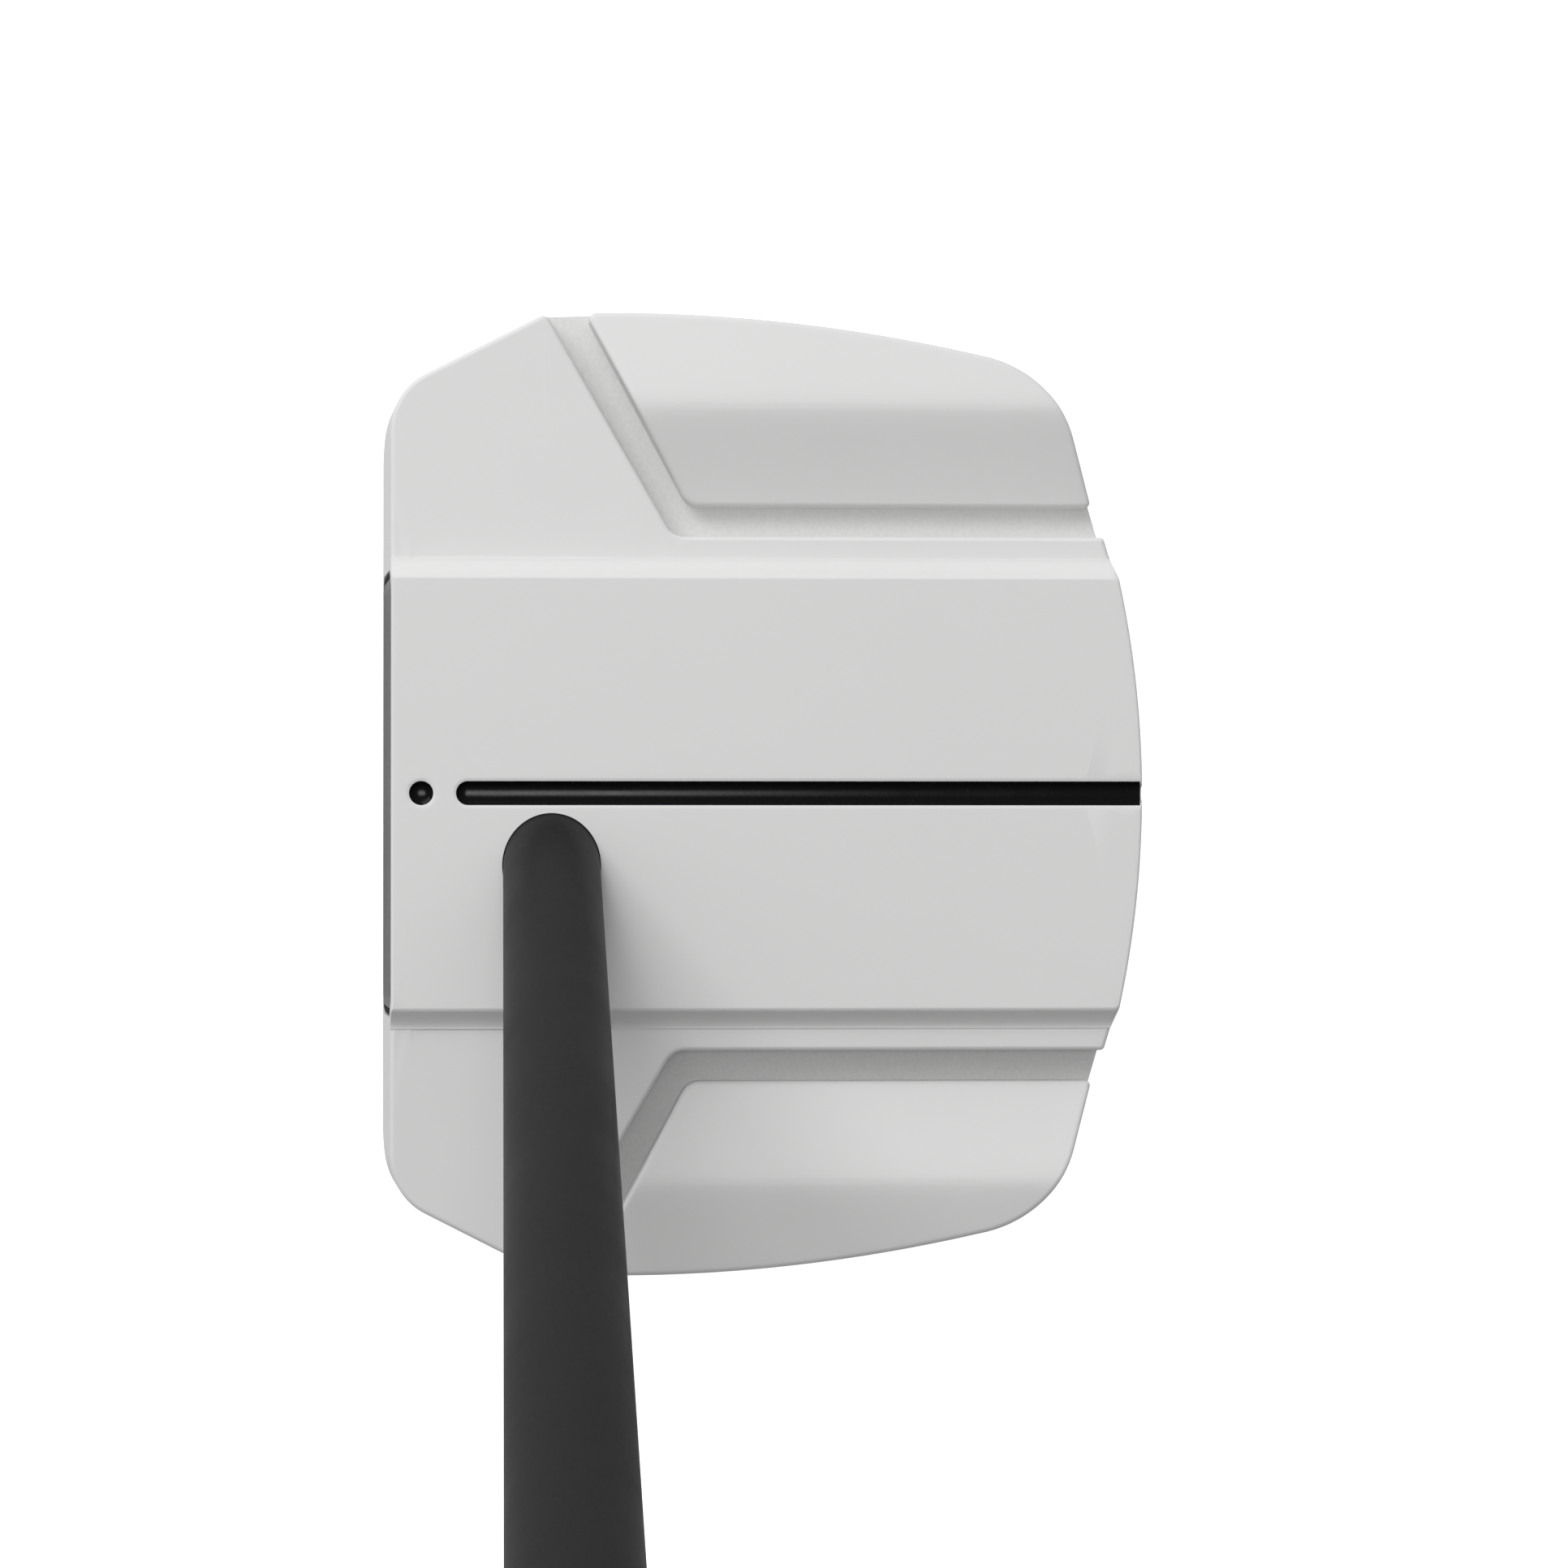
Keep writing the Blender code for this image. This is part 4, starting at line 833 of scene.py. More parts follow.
# %% The tapered tube
shaft_end = CLUB_LENGTH - 12.3 * MM
shaft_wall = 0.45 * MM
levels = np.linspace(TIP_ALONG, shaft_end, 60)
outside = np.stack([shaft_radius(levels), levels], axis=1)
inside = np.stack([shaft_radius(levels) - shaft_wall, levels], axis=1)[::-1]
shaft = solid("shaft_tapered", put(turned(np.vstack([outside, inside]), 96, tube=True), on_shaft))
smooth(shaft, 40, weighted=False)
stands_for(shaft, "shaft")
sleeve_out, sleeve_in = entry_radius + 0.5 * MM, entry_radius + 0.12 * MM
glue_profile = [
    (sleeve_out - 0.1 * MM, TIP_ALONG), (sleeve_out, TIP_ALONG + 0.3 * MM),
    (sleeve_out, glue_top - 0.5 * MM), (sleeve_in + 0.1 * MM, glue_top - 0.15 * MM),
    (sleeve_in, glue_top - 0.3 * MM), (sleeve_in, TIP_ALONG)]
glue = solid("glue_sleeve", put(turned(glue_profile, 72, tube=True), on_shaft))
smooth(glue, 40, weighted=False)
stands_for(glue, "shaft_bond")

# %% [markdown]
# ## The grip
# The grip is a wrapped sleeve over foam: flat where the thumbs lie and full under the fingers, and it
# swells towards its end. One closed ring formula gives its section at any height, and the surface is
# pressed with rows of small diamonds at the sides and level lines on the flat, which are real dents in
# the grid, since they show against the light.

# %% The grip's section
GRIP_LENGTH = 267.0 * MM
GRIP_LOW = CLUB_LENGTH - GRIP_LENGTH
COLLAR_HIGH = GRIP_LOW + 7.0 * MM
CAP_LOW = CLUB_LENGTH - 4.0 * MM
SKIN = 1.8 * MM
SIDE_REACH, FLAT_REACH, BELLY_REACH = (3.5, 1.9), (3.3, 1.1), (3.9, 3.5)
FLAT_POWER, SIDE_POWER = 0.55, 0.9


def grip_ring(along, angle, inset=0.0):
    """Points of the section at a height: the belly side is an ellipse, the thumb side a fuller curve whose
    cosine is raised to FLAT_POWER. Each reach past the shaft is its first number in millimetres, plus its
    second times the share of the grip's length."""
    share = np.clip((along - GRIP_LOW) / GRIP_LENGTH, 0, 1)
    swell = share * share * (3 - 2 * share)
    inner = shaft_radius(along) - inset
    sides = inner + (SIDE_REACH[0] + SIDE_REACH[1] * share) * MM
    flat = inner + (FLAT_REACH[0] + FLAT_REACH[1] * share) * MM
    belly = inner + (BELLY_REACH[0] + BELLY_REACH[1] * swell) * MM
    c, s = np.cos(angle), np.sin(angle)
    x = np.where(c > 0, c * belly, -np.abs(c) ** FLAT_POWER * flat)
    y = np.sign(s) * np.abs(s) ** SIDE_POWER * sides
    return np.stack([x, y, np.broadcast_to(along, x.shape)], axis=-1)


def even_angles(count):
    """Angles that space the section's points evenly along its own length."""
    fine = np.linspace(0, 2 * math.pi, 721)
    ring = grip_ring(np.full(721, CLUB_LENGTH - 60 * MM), fine)
    along = np.concatenate([[0], np.cumsum(np.linalg.norm(np.diff(ring, axis=0), axis=1))])
    return np.interp(np.arange(count) / count * along[-1], along, fine)


print("grip section at the top in mm:",
      np.round(np.ptp(grip_ring(np.full(64, CAP_LOW), np.arange(64) * math.pi / 32), axis=0)[:2] / MM, 1))

# %% The pressed skin
ROUND, ALONG = 132, 480
angle = even_angles(ROUND)[None, :]
along = np.linspace(COLLAR_HIGH + 0.02 * MM, CAP_LOW - 0.02 * MM, ALONG)[:, None]
surface = grip_ring(along + 0 * angle, angle + 0 * along)
wrap = np.cumsum(np.linalg.norm(np.diff(surface, axis=1, append=surface[:, :1]), axis=2), axis=1)
wrap = np.concatenate([np.zeros((ALONG, 1)), wrap[:, :-1]], axis=1)
DIAMOND, LINE_PITCH, PRESSED_WIDTH = 5.2 * MM, 3.0 * MM, 0.9 * MM
DIAMOND_SLANT = 0.62
THUMB_MIDDLE, THUMB_REACH = 0.78, 0.07
PRESS_DEPTH, SEAM_DEPTH, SEAM_WIDTH = 0.28 * MM, 0.3 * MM, 0.7 * MM
seam_gap = np.minimum(wrap, wrap[:, -1:] - wrap)


def ridge(distance, pitch, width):
    """1 in the middle of evenly spaced thin lines and 0 between them, with soft sides."""
    off = np.abs((distance / pitch + 0.5) % 1 - 0.5) * pitch
    near = np.clip(1 - off / width, 0, 1)
    return near ** 2 * (3 - 2 * near)


diamonds = np.maximum(ridge(along + DIAMOND_SLANT * wrap, DIAMOND, PRESSED_WIDTH),
                      ridge(along - DIAMOND_SLANT * wrap, DIAMOND, PRESSED_WIDTH))
level_lines = ridge(along + 0 * wrap, LINE_PITCH, PRESSED_WIDTH)
under_thumbs = np.abs(along - THUMB_MIDDLE) < THUMB_REACH
on_flat = np.clip((-np.cos(angle) - 0.62) / 0.1, 0, 1) * under_thumbs
on_sides = np.clip((0.55 - np.abs(np.cos(angle) + 0.05)) / 0.1, 0, 1)
ends = np.clip(np.minimum(along - along[0], along[-1] - along) / (6 * MM), 0, 1)
press = PRESS_DEPTH * ends * np.maximum(diamonds * on_sides, level_lines * on_flat)
press = press + SEAM_DEPTH * np.clip(1 - seam_gap / SEAM_WIDTH, 0, 1)
middle = np.stack([0 * wrap, 0 * wrap, along + 0 * wrap], axis=-1)
out = surface - middle
out = out / np.linalg.norm(out, axis=2)[..., None]
surface = surface - out * press[..., None]
lining = grip_ring(along[::24] + 0 * angle, angle + 0 * along[::24], SKIN)[::-1]
skin_piece = solid("grip_skin_wrapped",
                   put(skin(np.concatenate([surface, lining]), closed_tube=True), on_shaft))
smooth(skin_piece, 60, weighted=False)
stands_for(skin_piece, "grip_skin")

# %% Collar and cap
ROUND_END = 96
ring_angle = even_angles(ROUND_END)
circle = on_circle(ring_angle)


def section(along, inset=0.0):
    """The grip's section at one height, moved in by an inset."""
    return grip_ring(np.full(ROUND_END, along), ring_angle, inset)


collar_rows = [section(GRIP_LOW + up * MM, inset * MM) for up, inset in (
    (0.0, 2.3), (0.05, 1.9), (0.4, 1.45), (1.2, 1.1), (2.2, 0.9), (2.4, 1.15), (2.9, 1.15),
    (3.1, 0.75), (5.0, 0.3), (6.6, 0.05), (6.9, 0.12), (7.0, 0.4))]
hole = [level((shaft_radius(z) + 0.2 * MM) * circle, z) for z in (COLLAR_HIGH, GRIP_LOW)]
collar = solid("grip_collar_moulded", put(skin(np.stack(collar_rows + hole), closed_tube=True), on_shaft))
smooth(collar, 30)
stands_for(collar, "grip_collar")

CAP_ROUND = 2.4 * MM
cap_rows = [level(radius * MM * circle, CAP_LOW + up * MM)
            for radius, up in ((1.0, -7.7), (4.3, -7.7), (4.5, -7.5), (4.5, 0.0))]
cap_rows += [section(CAP_LOW, 0.3 * MM), section(CAP_LOW + 0.15 * MM)]
for turn in np.linspace(0, math.pi / 2, 8):
    row = section(CLUB_LENGTH, CAP_ROUND * (1 - math.cos(turn)))
    cap_rows.append(level(row[:, :2], CLUB_LENGTH - CAP_ROUND * (1 - math.sin(turn))))
cap_rows += [level(radius * MM * circle, CLUB_LENGTH - down * MM)
             for radius, down in ((5.2, 0.0), (5.0, 0.35), (1.5, 0.35), (1.0, 0.7))]
cap = solid("grip_cap_moulded", put(skin(np.stack(cap_rows), closed_tube=True), on_shaft))
smooth(cap, 35)
stands_for(cap, "grip_cap")

# %% [markdown]
# ## Finishes
# Each finish is worked out from the piece's own Object coordinates, so nothing slides when a view
# changes. Effects that several finishes share are node groups: a grain that gives a height, a mottling
# that varies a colour and a roughness, a wear mask on edges, drawn lines for brushed metal, and dust on
# what faces up. The shader itself stays in each material.

# %% Node tools
def add(tree, kind, inputs=None, **settings):
    """A node with its settings and inputs; an input given as an output socket is linked."""
    made = tree.nodes.new(kind)
    for name, value in settings.items():
        setattr(made, name, value)
    for key, value in (inputs or {}).items():
        if isinstance(value, bpy.types.NodeSocket):
            tree.links.new(value, made.inputs[key])
        else:
            made.inputs[key].default_value = value
    return made


def new_group(name, inputs, outputs):
    """An empty shader group with float, colour or vector sockets, and its two end nodes."""
    tree = bpy.data.node_groups.new(name, "ShaderNodeTree")
    for label, (kind, value) in inputs.items():
        socket = tree.interface.new_socket(label, in_out="INPUT", socket_type="NodeSocket" + kind)
        socket.default_value = value
    for label, kind in outputs.items():
        tree.interface.new_socket(label, in_out="OUTPUT", socket_type="NodeSocket" + kind)
    return tree, tree.nodes.new("NodeGroupInput").outputs, tree.nodes.new("NodeGroupOutput").inputs


def math_node(tree, operation, first, second=0.0, third=0.0, clamp=False):
    """The output of one Math node."""
    inputs = {0: first, 1: second, 2: third}
    return add(tree, "ShaderNodeMath", inputs, operation=operation, use_clamp=clamp).outputs[0]


def times(tree, first, second, clamp=False):
    """Two values multiplied."""
    return math_node(tree, "MULTIPLY", first, second, clamp=clamp)


def times_plus(tree, value, factor, start):
    """A value times a factor, added to a start."""
    return math_node(tree, "MULTIPLY_ADD", value, factor, start)


def spread(tree, value, low, high, to_low=0.0, to_high=1.0):
    """A value's range from low to high carried smoothly to another range."""
    inputs = {"Value": value, "From Min": low, "From Max": high, "To Min": to_low, "To Max": to_high}
    return add(tree, "ShaderNodeMapRange", inputs, interpolation_type="SMOOTHSTEP").outputs["Result"]


def facing_up(tree):
    """How far the surface faces up: the Z of its normal."""
    normal = tree.nodes.new("ShaderNodeNewGeometry").outputs["Normal"]
    return add(tree, "ShaderNodeSeparateXYZ", {0: normal}).outputs["Z"]


def object_place(tree):
    """The piece's own Object coordinates."""
    return tree.nodes.new("ShaderNodeTexCoord").outputs["Object"]


def noise(tree, place, scale, detail, roughness=0.5):
    """The output of one Noise texture."""
    inputs = {"Vector": place, "Scale": scale, "Detail": detail, "Roughness": roughness}
    return add(tree, "ShaderNodeTexNoise", inputs).outputs["Fac"]


# %% Shared effects
def make_grain():
    """Height from fine noise: two sizes of it, the second four times finer and half as high."""
    tree, given, result = new_group(
        "grain", {"Scale": ("Float", 2000.0), "Roughness": ("Float", 0.5)}, {"Height": "Float"})
    place = object_place(tree)
    coarse = noise(tree, place, given["Scale"], 2.0, given["Roughness"])
    fine = noise(tree, place, times(tree, given["Scale"], 4.0), 1.0)
    tree.links.new(times_plus(tree, fine, 0.5, coarse), result["Height"])
    return tree


def make_mottle():
    """A colour made lighter and darker in soft patches, and a roughness that follows them."""
    tree, given, result = new_group(
        "mottle", {"Color": ("Color", (0.5, 0.5, 0.5, 1.0)), "Scale": ("Float", 60.0),
                   "Amount": ("Float", 0.05), "Roughness": ("Float", 0.4),
                   "Roughness Amount": ("Float", 0.05)},
        {"Color": "Color", "Roughness": "Float"})
    swing = math_node(tree, "SUBTRACT", noise(tree, object_place(tree), given["Scale"], 4.0, 0.6), 0.5)
    value = times_plus(tree, times(tree, swing, given["Amount"]), 2.0, 1.0)
    shade = add(tree, "ShaderNodeVectorMath", {0: given["Color"], "Scale": value}, operation="SCALE")
    tree.links.new(shade.outputs[0], result["Color"])
    rough = times_plus(tree, times(tree, swing, given["Roughness Amount"]), 2.0, given["Roughness"])
    tree.links.new(rough, result["Roughness"])
    return tree


def make_wear():
    """A mask of sharp outer edges, broken up by noise, from how pointed the surface is."""
    tree, given, result = new_group(
        "edge_wear", {"Start": ("Float", 0.54), "End": ("Float", 0.62), "Scale": ("Float", 900.0)},
        {"Mask": "Float"})
    pointed = tree.nodes.new("ShaderNodeNewGeometry").outputs["Pointiness"]
    edge = add(tree, "ShaderNodeMapRange", {
        "Value": pointed, "From Min": given["Start"], "From Max": given["End"]}).outputs["Result"]
    broken = spread(tree, noise(tree, object_place(tree), given["Scale"], 3.0), 0.42, 0.62)
    tree.links.new(times(tree, edge, broken, clamp=True), result["Mask"])
    return tree


def make_drawn_lines():
    """Height and mask of fine parallel lines: noise stretched by a vector scale."""
    tree, given, result = new_group(
        "drawn_lines", {"Stretch": ("Vector", (40.0, 4000.0, 4000.0))},
        {"Height": "Float", "Mask": "Float"})
    stretched = add(tree, "ShaderNodeVectorMath", {0: object_place(tree), 1: given["Stretch"]},
                    operation="MULTIPLY").outputs[0]
    lines = noise(tree, stretched, 1.0, 3.0, 0.65)
    tree.links.new(lines, result["Height"])
    tree.links.new(spread(tree, lines, 0.3, 0.7), result["Mask"])
    return tree


def make_dust():
    """A mask of thin dust: what faces up, times speckled noise."""
    tree, given, result = new_group(
        "dust", {"Scale": ("Float", 500.0), "Amount": ("Float", 0.2)}, {"Mask": "Float"})
    speck = spread(tree, noise(tree, object_place(tree), given["Scale"], 6.0, 0.75), 0.56, 0.72)
    lying = spread(tree, facing_up(tree), 0.2, 0.9)
    tree.links.new(times(tree, times(tree, speck, lying), given["Amount"]), result["Mask"])
    return tree


GROUPS = {tree.name: tree for tree in (
    make_grain(), make_mottle(), make_wear(), make_drawn_lines(), make_dust())}


def effect(tree, name, **values):
    """One shared effect placed in a material; underscores in the names of its values stand for spaces."""
    made = tree.nodes.new("ShaderNodeGroup")
    made.node_tree = GROUPS[name]
    for label, value in values.items():
        socket = made.inputs[label.replace("_", " ")]
        if isinstance(value, bpy.types.NodeSocket):
            tree.links.new(value, socket)
        else:
            socket.default_value = value
    return made.outputs


def grey(value):
    """A grey as a colour."""
    return (value, value, value, 1.0)


def mix(tree, share, first, second):
    """A colour between two, by a share."""
    inputs = {"Factor": share, "A": first, "B": second}
    return add(tree, "ShaderNodeMix", inputs, data_type="RGBA").outputs["Result"]


def mottled(tree, color, scale, amount, roughness, swing):
    """A colour and a roughness, each varied by the mottle."""
    return effect(tree, "mottle", Color=(*color, 1.0), Scale=scale, Amount=amount,
                  Roughness=roughness, Roughness_Amount=swing)


def grain(tree, scale, roughness=0.5):
    """The height of the grain at one scale."""
    return effect(tree, "grain", Scale=scale, Roughness=roughness)["Height"]


def dusted(tree, color, dust_color, scale, amount):
    """A colour with dust lying on it."""
    return mix(tree, effect(tree, "dust", Scale=scale, Amount=amount)["Mask"], color, dust_color)


def rubbed(tree, color, bright, share, start, end, scale):
    """A colour whose outer edges are rubbed towards another, by a share."""
    worn = effect(tree, "edge_wear", Start=start, End=end, Scale=scale)["Mask"]
    return mix(tree, times(tree, worn, share), color, bright)


def finish(name, metallic=0.0, **fixed):
    """A new material with its Principled shader, and the shader's fixed values."""
    made = bpy.data.materials.new(name)
    made.use_nodes = True
    shader = made.node_tree.nodes["Principled BSDF"]
    shader.inputs["Metallic"].default_value = metallic
    for label, value in fixed.items():
        shader.inputs[label.replace("_", " ")].default_value = value
    return made, made.node_tree, shader.inputs


def bump(tree, height, strength, distance, below=None):
    """The normal that a height gives, in metres; a second one lies under it."""
    inputs = {"Height": height, "Strength": strength, "Distance": distance}
    if below is not None:
        inputs["Normal"] = below
    return add(tree, "ShaderNodeBump", inputs).outputs["Normal"]


def join(tree, shader, color, roughness, normal):
    """Links a colour, a roughness and a normal to the shader."""
    for label, value in (("Base Color", color), ("Roughness", roughness), ("Normal", normal)):
        tree.links.new(value, shader[label])


print("shared effects:", ", ".join(GROUPS))

# %% [markdown]
# ## White paint
# The head is bead blasted, then sprayed satin white. On open surfaces the coat levels to a very faint
# orange peel. On the groove floors the blasted grain shows through, and its grey speckles there are also
# painted shade of the grooves' recess. So the same grain is used twice, and a mask of what is low and
# faces up chooses where it is strong.

# %% Satin white
def make_white_paint():
    """White with soft mottling, orange peel everywhere, and blasted grain on the groove floors, whose grey
    speckles are partly painted shade.
    """
    made, tree, shader = finish("satin_white_paint", Specular_IOR_Level=0.22)
    height = add(tree, "ShaderNodeSeparateXYZ", {0: object_place(tree)}).outputs["Z"]
    low_down = times(tree, spread(tree, height, GROOVE_FLOOR + 0.25 * MM, GROOVE_FLOOR + 0.05 * MM),
                     spread(tree, facing_up(tree), 0.5, 0.9))
    tone = mottled(tree, (0.80, 0.80, 0.795), 45.0, 0.02, 0.5, 0.08)
    speckle = grain(tree, 2600.0, 0.6)
    # Grey speckles on the groove floors: the blasted grain, and painted shade in the grooves' recess as
    # well.
    grain_and_groove_shade = times(tree, spread(tree, speckle, 0.62, 0.92, 0.0, 0.1), low_down)
    color = mix(tree, grain_and_groove_shade, tone["Color"], grey(0.42))
    color = rubbed(tree, color, grey(0.5), 0.12, 0.56, 0.66, 700.0)
    peel = bump(tree, grain(tree, 700.0), 0.1, 0.00003)
    blasted = bump(tree, times(tree, speckle, low_down), 0.4, 0.00008, peel)
    join(tree, shader, color, times_plus(tree, low_down, 0.12, tone["Roughness"]), blasted)
    return made


def paint(material, *items):
    """Puts one material on pieces, as the only one in their slots."""
    for item in items:
        item.data.materials.clear()
        item.data.materials.append(material)


WHITE = make_white_paint()
paint(WHITE, head)
print("finish:", WHITE.name)

# %% Black enamel, rubber, shaft, insert
def make_enamel():
    """Gloss black with faint ripples and a few specks of dust."""
    made, tree, shader = finish("gloss_black_enamel", Specular_IOR_Level=0.1)
    tone = mottled(tree, (0.0022, 0.0022, 0.0024), 300.0, 0.2, 0.15, 0.04)
    join(tree, shader, dusted(tree, tone["Color"], grey(0.3), 2200.0, 0.02), tone["Roughness"],
         bump(tree, grain(tree, 900.0), 0.05, 0.00003))
    return made


def make_rubber():
    """Matt black rubber with a fine moulded grain and grey dust."""
    made, tree, shader = finish("black_rubber", Specular_IOR_Level=0.1)
    tone = mottled(tree, (0.007, 0.007, 0.007), 400.0, 0.25, 0.75, 0.1)
    join(tree, shader, dusted(tree, tone["Color"], grey(0.2), 1500.0, 0.08), tone["Roughness"],
         bump(tree, grain(tree, 3500.0), 0.4, 0.00004))
    return made


def make_shaft_paint():
    """Satin black over steel: faint lines along the tube from drawing it, and specks of wear and dust."""
    made, tree, shader = finish("satin_black_shaft", Specular_IOR_Level=0.025)
    tone = mottled(tree, (0.022, 0.022, 0.0225), 90.0, 0.12, 0.42, 0.1)
    drawn = effect(tree, "drawn_lines", Stretch=(2500.0, 2500.0, 12.0))
    color = mix(tree, times(tree, drawn["Mask"], 0.25), tone["Color"], (0.03, 0.03, 0.031, 1.0))
    lines = bump(tree, drawn["Height"], 0.06, 0.00003)
    join(tree, shader, dusted(tree, color, grey(0.3), 900.0, 0.06), tone["Roughness"],
         bump(tree, grain(tree, 1800.0), 0.15, 0.00003, lines))
    return made


def make_insert_metal():
    """Dark anodised aluminium: cutter lines along the face, and bright metal where the edges are rubbed."""
    made, tree, shader = finish("dark_anodised_aluminium", metallic=0.55, Specular_IOR_Level=0.5)
    tone = mottled(tree, (0.15, 0.15, 0.155), 200.0, 0.1, 0.42, 0.08)
    drawn = effect(tree, "drawn_lines", Stretch=(120.0, 6000.0, 6000.0))
    color = rubbed(tree, tone["Color"], (0.45, 0.45, 0.46, 1.0), 0.5, 0.53, 0.6, 1500.0)
    grainy = bump(tree, grain(tree, 4000.0), 0.25, 0.00003)
    join(tree, shader, color, times_plus(tree, drawn["Mask"], 0.08, tone["Roughness"]),
         bump(tree, drawn["Height"], 0.2, 0.00003, grainy))
    return made


def make_steel(name, color, stretch, roughness):
    """Brushed steel: lines of height, a roughness that follows them, and lighter rubbed edges."""
    made, tree, shader = finish(name, metallic=1.0)
    tone = mottled(tree, color, 120.0, 0.08, roughness, 0.1)
    drawn = effect(tree, "drawn_lines", Stretch=stretch)
    light = (*(min(c * 1.5, 0.9) for c in color), 1.0)
    join(tree, shader, rubbed(tree, tone["Color"], light, 0.6, 0.53, 0.6, 1200.0),
         times_plus(tree, drawn["Mask"], 0.12, tone["Roughness"]),
         bump(tree, drawn["Height"], 0.25, 0.00004))
    return made


def make_soft(name, color, roughness, scale, height, contrast=0.2):
    """A matt moulded or foamed finish: mottled, with cells or grain of one size."""
    made, tree, shader = finish(name, Specular_IOR_Level=0.25)
    tone = mottled(tree, color, scale / 8, contrast, roughness, 0.1)
    cells = grain(tree, scale, 0.7)
    dark = (*(c * 0.55 for c in color), 1.0)
    join(tree, shader, mix(tree, spread(tree, cells, 0.55, 0.95, 0.0, 0.35), tone["Color"], dark),
         tone["Roughness"], bump(tree, cells, 0.5, height))
    return made


def make_grip_skin():
    """Black polyurethane: a leathery grain, dust in the hollows, and edges polished where hands rub."""
    made, tree, shader = finish("black_polyurethane", Specular_IOR_Level=0.4)
    tone = mottled(tree, (0.022, 0.022, 0.023), 70.0, 0.25, 0.6, 0.12)
    color = rubbed(tree, tone["Color"], (0.05, 0.05, 0.052, 1.0), 0.5, 0.505, 0.56, 500.0)
    join(tree, shader, dusted(tree, color, grey(0.25), 700.0, 0.1), tone["Roughness"],
         bump(tree, grain(tree, 1400.0, 0.6), 0.5, 0.00008))
    return made


# %% Each finer piece gets its finish
pieces = {item.name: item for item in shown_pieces()}
paint(make_enamel(), line_fill, dot_fill)
paint(make_rubber(), tray, pieces["toe_weight_washer"], pieces["heel_weight_washer"])
paint(make_shaft_paint(), shaft)
paint(make_insert_metal(), insert)
paint(make_steel("brushed_stainless", (0.52, 0.52, 0.53), (60.0, 5000.0, 5000.0), 0.3), sole)
paint(make_steel("dark_screw_steel", (0.22, 0.22, 0.23), (1500.0, 1500.0, 6000.0), 0.28),
      *[item for name, item in pieces.items() if name.endswith("_turned")])
paint(make_grip_skin(), skin_piece)
paint(make_soft("black_trim_plastic", (0.014, 0.014, 0.014), 0.42, 1800.0, 0.00003), collar, cap)
print("finishes on the finer pieces:", len(bpy.data.materials))

# %% Soft finishes of the inner pieces
SOFT = {  # piece: finish, colour, roughness, scale, height, contrast
    "damping_foam": ("damping_foam_cells", (0.09, 0.09, 0.1), 0.95, 900.0, 0.0003, 0.2),
    "grip_core": ("grip_foam_cells", (0.07, 0.07, 0.07), 0.9, 1200.0, 0.0002, 0.2),
    "insert_adhesive_pad": ("adhesive_foam_tape", (0.06, 0.06, 0.06), 0.85, 2200.0, 0.0001, 0.2),
    "grip_tape": ("cream_grip_tape", (0.5, 0.47, 0.38), 0.75, 1600.0, 0.00008, 0.1),
    "glue_sleeve": ("amber_epoxy", (0.3, 0.24, 0.13), 0.3, 500.0, 0.00005, 0.3),
    "shaft_tip_plug": ("natural_nylon", (0.48, 0.47, 0.43), 0.55, 800.0, 0.00004, 0.1),
}
for name, values in SOFT.items():
    paint(make_soft(*values), pieces[name])
print("pieces finished:", len(pieces))

# %% [markdown]
# ## Floor, light and camera
# The club stands on a plain, nearly white light table. One large lamp stands high on the toe side, a little
# to the front, so that each step and ridge shows by its slope. A narrow lamp overhead draws the line
# of light in the enamel, and a pale surround fills the shadows.

# %% The floor
FLOOR_HALF = 12.0
FLOOR_GLOW = 1.0


def make_floor():
    """A wide square just under the sole. It is nearly white, and only as the camera sees it, it glows, so
    that it is as bright as the surround; it doesn't light the club."""
    corners = [(x * FLOOR_HALF, y * FLOOR_HALF, -0.02 * MM)
               for x, y in ((-1, -1), (1, -1), (1, 1), (-1, 1))]
    mesh = bpy.data.meshes.new("floor")
    mesh.from_pydata(corners, [], [(0, 1, 2, 3)])
    made, tree, shader = finish("pale_floor", Roughness=0.7, Specular_IOR_Level=0.1)
    tone = mottled(tree, (0.86, 0.86, 0.86), 3.0, 0.01, 0.7, 0.02)["Color"]
    is_seen = tree.nodes.new("ShaderNodeLightPath").outputs["Is Camera Ray"]
    for label, value in (("Base Color", tone), ("Emission Color", tone),
                         ("Emission Strength", times(tree, is_seen, FLOOR_GLOW))):
        tree.links.new(value, shader[label])
    mesh.materials.append(made)
    item = bpy.data.objects.new("floor", mesh)
    bpy.context.scene.collection.objects.link(item)
    return item


floor = make_floor()
print("floor:", floor.name)

# %% Lamps and surround
def lamp(name, place, aim, width, length, power):
    """A rectangular lamp at a place, turned towards a point; sizes in metres, power in watts."""
    light = bpy.data.lights.new(name, "AREA")
    light.shape, light.size, light.size_y, light.energy = "RECTANGLE", width, length, power
    item = bpy.data.objects.new(name, light)
    bpy.context.scene.collection.objects.link(item)
    item.location = place
    item.rotation_euler = (Vector(aim) - Vector(place)).to_track_quat("-Z", "Y").to_euler()
    print(name, "lamp", round((Vector(aim) - Vector(place)).length, 2), "m from what it lights")


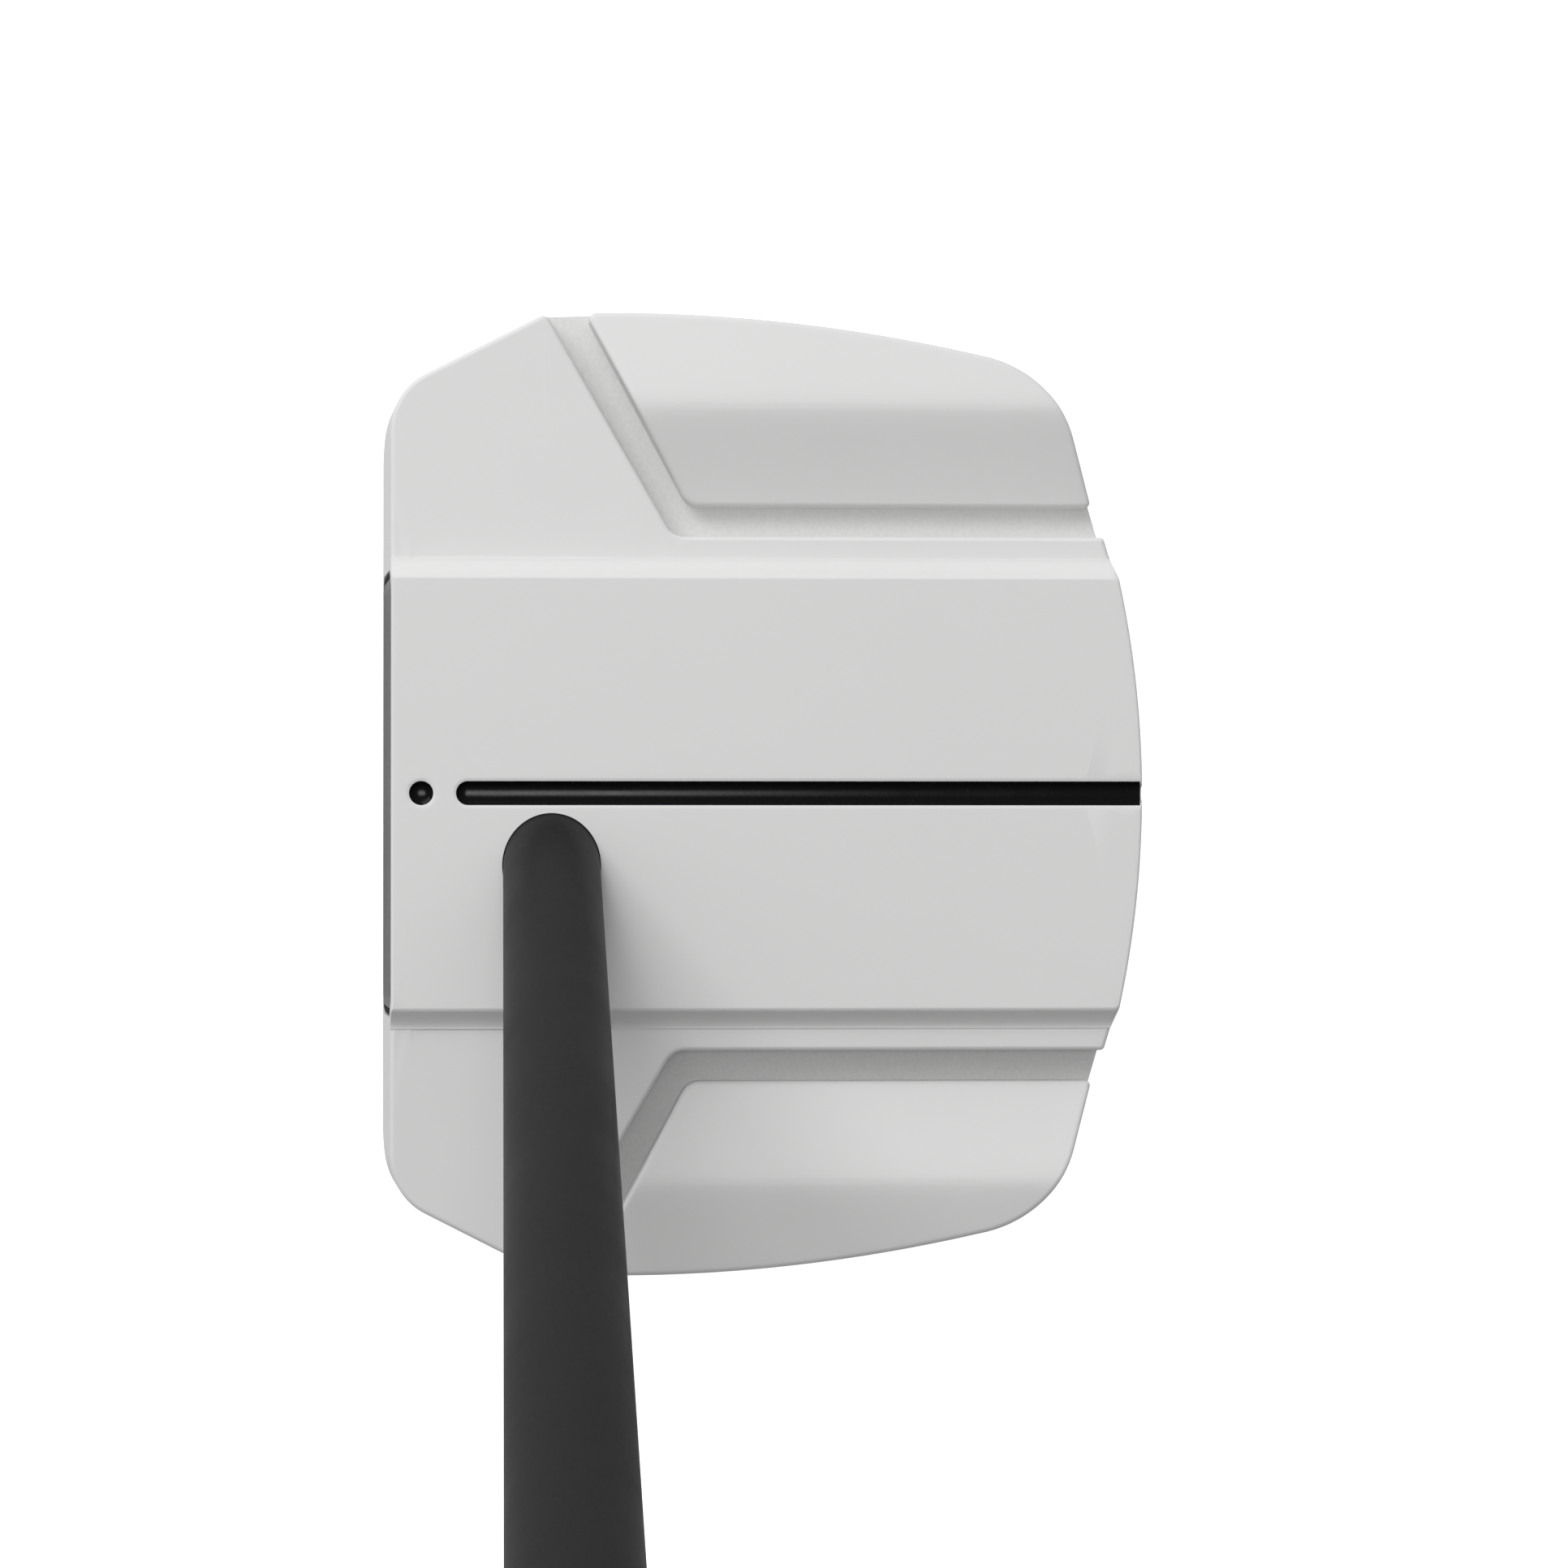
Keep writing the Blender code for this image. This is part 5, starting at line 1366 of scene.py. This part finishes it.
lamp("key", (-0.56, -0.4, 0.72), (0, 0, 0.02), 0.6, 0.6, 3.9)
lamp("overhead", (-0.01, -0.07, 1.06), (-0.01, -0.07, 0.0), 0.12, 0.22, 1.4)


def make_surround(base, glow, towards):
    """A surround that is white to look at, and lights the club with a base level plus a wide soft glow
    around one direction: the glow times a smooth step of the cosine between the two directions."""
    world = bpy.context.scene.world or bpy.data.worlds.new("surround")
    bpy.context.scene.world = world
    world.use_nodes = True
    tree = world.node_tree
    tree.nodes.clear()
    white = (1, 1, 1, 1)
    looking = tree.nodes.new("ShaderNodeTexCoord").outputs["Generated"]
    cosine = add(tree, "ShaderNodeVectorMath", {0: looking, 1: Vector(towards).normalized()},
                 operation="DOT_PRODUCT").outputs["Value"]
    strength = spread(tree, cosine, -0.15, 0.95, base, base + glow)
    light = add(tree, "ShaderNodeBackground", {"Color": white, "Strength": strength}).outputs[0]
    seen = add(tree, "ShaderNodeBackground", {"Color": white, "Strength": 1.0}).outputs[0]
    is_seen = tree.nodes.new("ShaderNodeLightPath").outputs["Is Camera Ray"]
    both = add(tree, "ShaderNodeMixShader", {0: is_seen, 1: light, 2: seen}).outputs[0]
    add(tree, "ShaderNodeOutputWorld", {"Surface": both})


make_surround(base=0.115, glow=0.58, towards=(-0.8, -0.3, 0.5))
bpy.context.scene.view_settings.view_transform = "Standard"
bpy.context.scene.view_settings.look = "None"

# %% The camera
lens = bpy.data.cameras.new("player_eye")
SENSOR_MM, LENS_MM = 36.0, 132.27
EYE, AIM = Vector((0.00589, -0.02776, 0.59125)), Vector((-0.00091, 0.00215, 0.025))
lens.sensor_width, lens.lens = SENSOR_MM, LENS_MM
lens.clip_start, lens.clip_end = 0.01, 60.0
camera = bpy.data.objects.new("player_eye", lens)
bpy.context.scene.collection.objects.link(camera)
bpy.context.scene.camera = camera
back = (EYE - AIM).normalized()
right = Vector((-1, 0, 0)).cross(back).normalized()
turn = Matrix((right, back.cross(right), back)).transposed()
camera.matrix_world = Matrix.Translation(EYE) @ turn.to_4x4()
print("camera", round((EYE - AIM).length, 3), "m from the crown")
